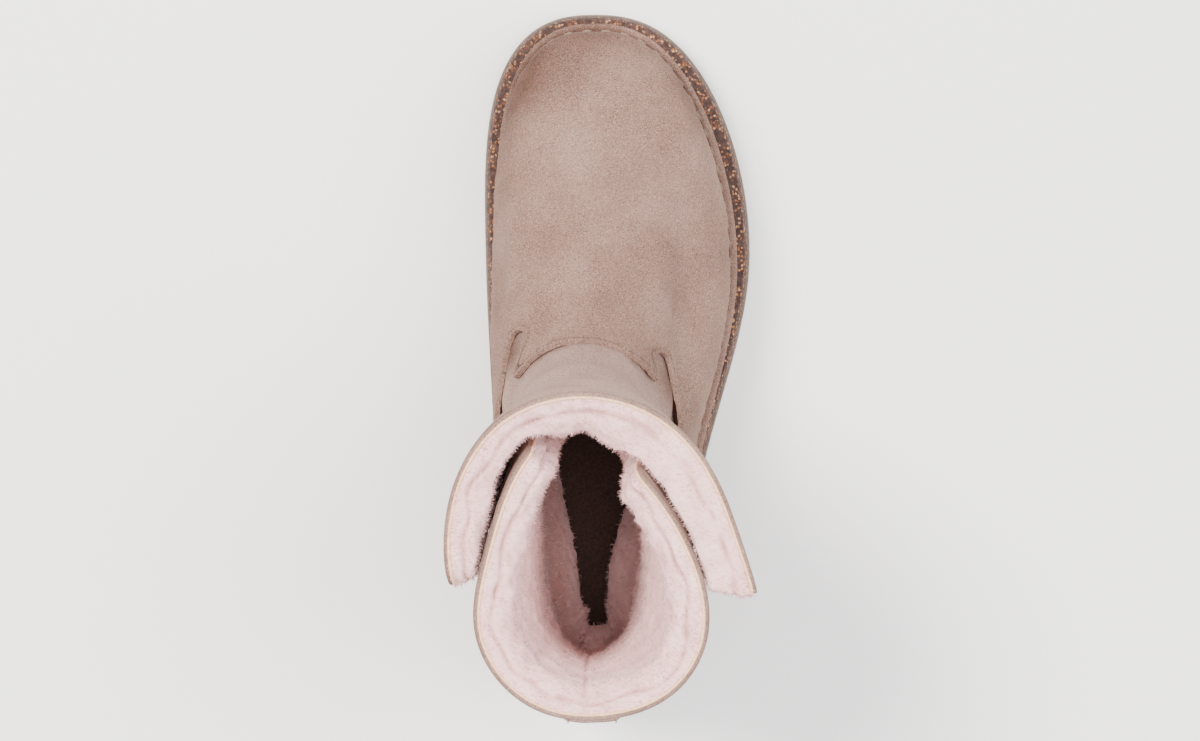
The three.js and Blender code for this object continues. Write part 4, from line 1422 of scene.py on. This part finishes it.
# %% Fibres
def sample(grid, rows, columns):
    """Bilinear reading of a grid of vectors at fractional rows and columns."""
    i, j = rows.astype(int), columns.astype(int)
    a, b = (rows - i)[:, None], (columns - j)[:, None]
    return lerp(lerp(grid[i, j], grid[i, j + 1], b), lerp(grid[i + 1, j], grid[i + 1, j + 1], b), a)


FIBRE_LENGTH, TIP_TONE = 1.9, 0.15


def fibres(name, grid, normal, rows, columns, seed):
    """Spikes rooted at fractional places of a grid, leaning at random by about 30 degrees.

    Each has a triangle at its root, a smaller one half way, pushed aside, and a tip."""
    draw = np.random.default_rng(seed)
    count = len(rows)
    root, out = sample(grid, rows, columns), sample(normal, rows, columns)
    lean = out + 0.45 * draw.normal(size=(count, 3))
    lean /= np.linalg.norm(lean, axis=1, keepdims=True)
    size = (FIBRE_LENGTH * draw.uniform(0.5, 1.15, count))[:, None]
    across = np.cross(lean, draw.normal(size=(count, 3)))
    across /= np.linalg.norm(across, axis=1, keepdims=True)
    other = np.cross(lean, across)
    middle = root + lean * size * 0.5 + across * size * 0.12
    tip = root + lean * size * 0.95 - across * size * 0.1 + other * size * 0.12
    angle = np.arange(3)[None, :, None] * 2 * np.pi / 3
    spoke = across[:, None] * np.cos(angle) + other[:, None] * np.sin(angle)
    rings = [(root - out * 0.4)[:, None] + 0.1 * spoke, middle[:, None] + 0.075 * spoke]
    points = np.concatenate([*rings, tip[:, None]], 1)
    one = np.array([
        (0, 1, 4), (0, 4, 3), (1, 2, 5), (1, 5, 4), (2, 0, 3), (2, 3, 5),
        (3, 4, 6), (4, 5, 6), (5, 3, 6), (0, 2, 1),
    ])
    faces = (one[None] + 7 * np.arange(count)[:, None, None]).reshape(-1, 3)
    shade = np.tile([0] * 3 + [TIP_TONE] * 4, count)
    piece(name, points.reshape(-1, 3), faces, WOOL, (), shade)


def scatter(shape, count, crowding, seed):
    """Random fractional places: rows crowd towards 0 as a power, columns are even."""
    draw = np.random.default_rng(seed)
    rows = draw.uniform(0, 1, count) ** crowding * (shape[0] - 1.01)
    return rows, draw.uniform(0, shape[1] - 1.01, count)


ROOM_TO_STAND = 9  # mm of free depth below which the wool is pressed flat and no fibre stands
for name, (grid, normal, room), count, crowding, seed in (
    ("back_panel_fibres", back_wool, 13500, 1.5, 81),
    ("front_flap_fibres", flap_wool, 13000, 1.8, 82),
):
    rows, columns = scatter(grid.shape, count, crowding, seed)
    standing = room[rows.astype(int), columns.astype(int)] > ROOM_TO_STAND
    fibres(name, grid, normal, rows[standing], columns[standing], seed + 10)
rows, columns = scatter(lining_face.shape, 8000, 1.0, 83)
fibres("foot_lining_fibres", lining_face, lining_out, rows, columns, 93)
print("faces in all, the CAD's included:", sum(len(mesh.polygons) for mesh in bpy.data.meshes))

# %% [markdown]
# ## Floor, light and camera
#
# A product table: a pale floor wider than the view, a large soft light from the upper left, a
# weaker one from the right, a small one overhead that reaches down the shaft, and a camera straight
# above, as for a catalogue's top view.


# %% Stage
def floor():
    """A flat square, 3 m wide, just under the tread."""
    corners = [(x, y, -0.05 * MM) for x, y in ((-1.5, -1.5), (1.5, -1.5), (1.5, 1.5), (-1.5, 1.5))]
    mesh = bpy.data.meshes.new("floor")
    mesh.from_pydata(corners, [], [(0, 1, 2, 3)])
    mesh.materials.append(start("matt_paper_white", Roughness=0.9, Base_Color=linear("#f9f8f7"))[0])
    obj = bpy.data.objects.new("floor", mesh)
    bpy.context.scene.collection.objects.link(obj)


def lamp(name, place, target, size, watts, code):
    """A square area light at `place`, aimed at `target`, both in metres."""
    light = bpy.data.lights.new(name, "AREA")
    light.size, light.energy, light.color = size, watts, linear(code)[:3]
    obj = bpy.data.objects.new(name, light)
    obj.location = place
    obj.rotation_euler = (Vector(target) - Vector(place)).to_track_quat("-Z", "Y").to_euler()
    bpy.context.scene.collection.objects.link(obj)


floor()
lamp("key_light", (-0.85, 0.45, 1.95), (0, 0, 0.08), 0.7, 84, "#fffaf4")
lamp("fill_light", (1.1, 0.1, 1.9), (0, 0, 0.08), 1.3, 48, "#ffffff")
lamp("top_light", (0.1, -0.15, 2.2), (0, -0.08, 0.1), 0.7, 26, "#ffffff")
world = bpy.data.worlds.new("studio")
world.use_nodes = True
sky = world.node_tree.nodes["Background"].inputs
sky["Color"].default_value, sky["Strength"].default_value = linear("#f6f4f4"), 0.95
bpy.context.scene.world = world

# %% Camera
CAMERA_HEIGHT = 1.6
camera = bpy.data.objects.new("camera", bpy.data.cameras.new("camera"))
camera.location = (-2.2 * MM, -4.4 * MM, CAMERA_HEIGHT)
camera.data.lens = 119
camera.data.sensor_width = 36
bpy.context.scene.collection.objects.link(camera)
bpy.context.scene.camera = camera
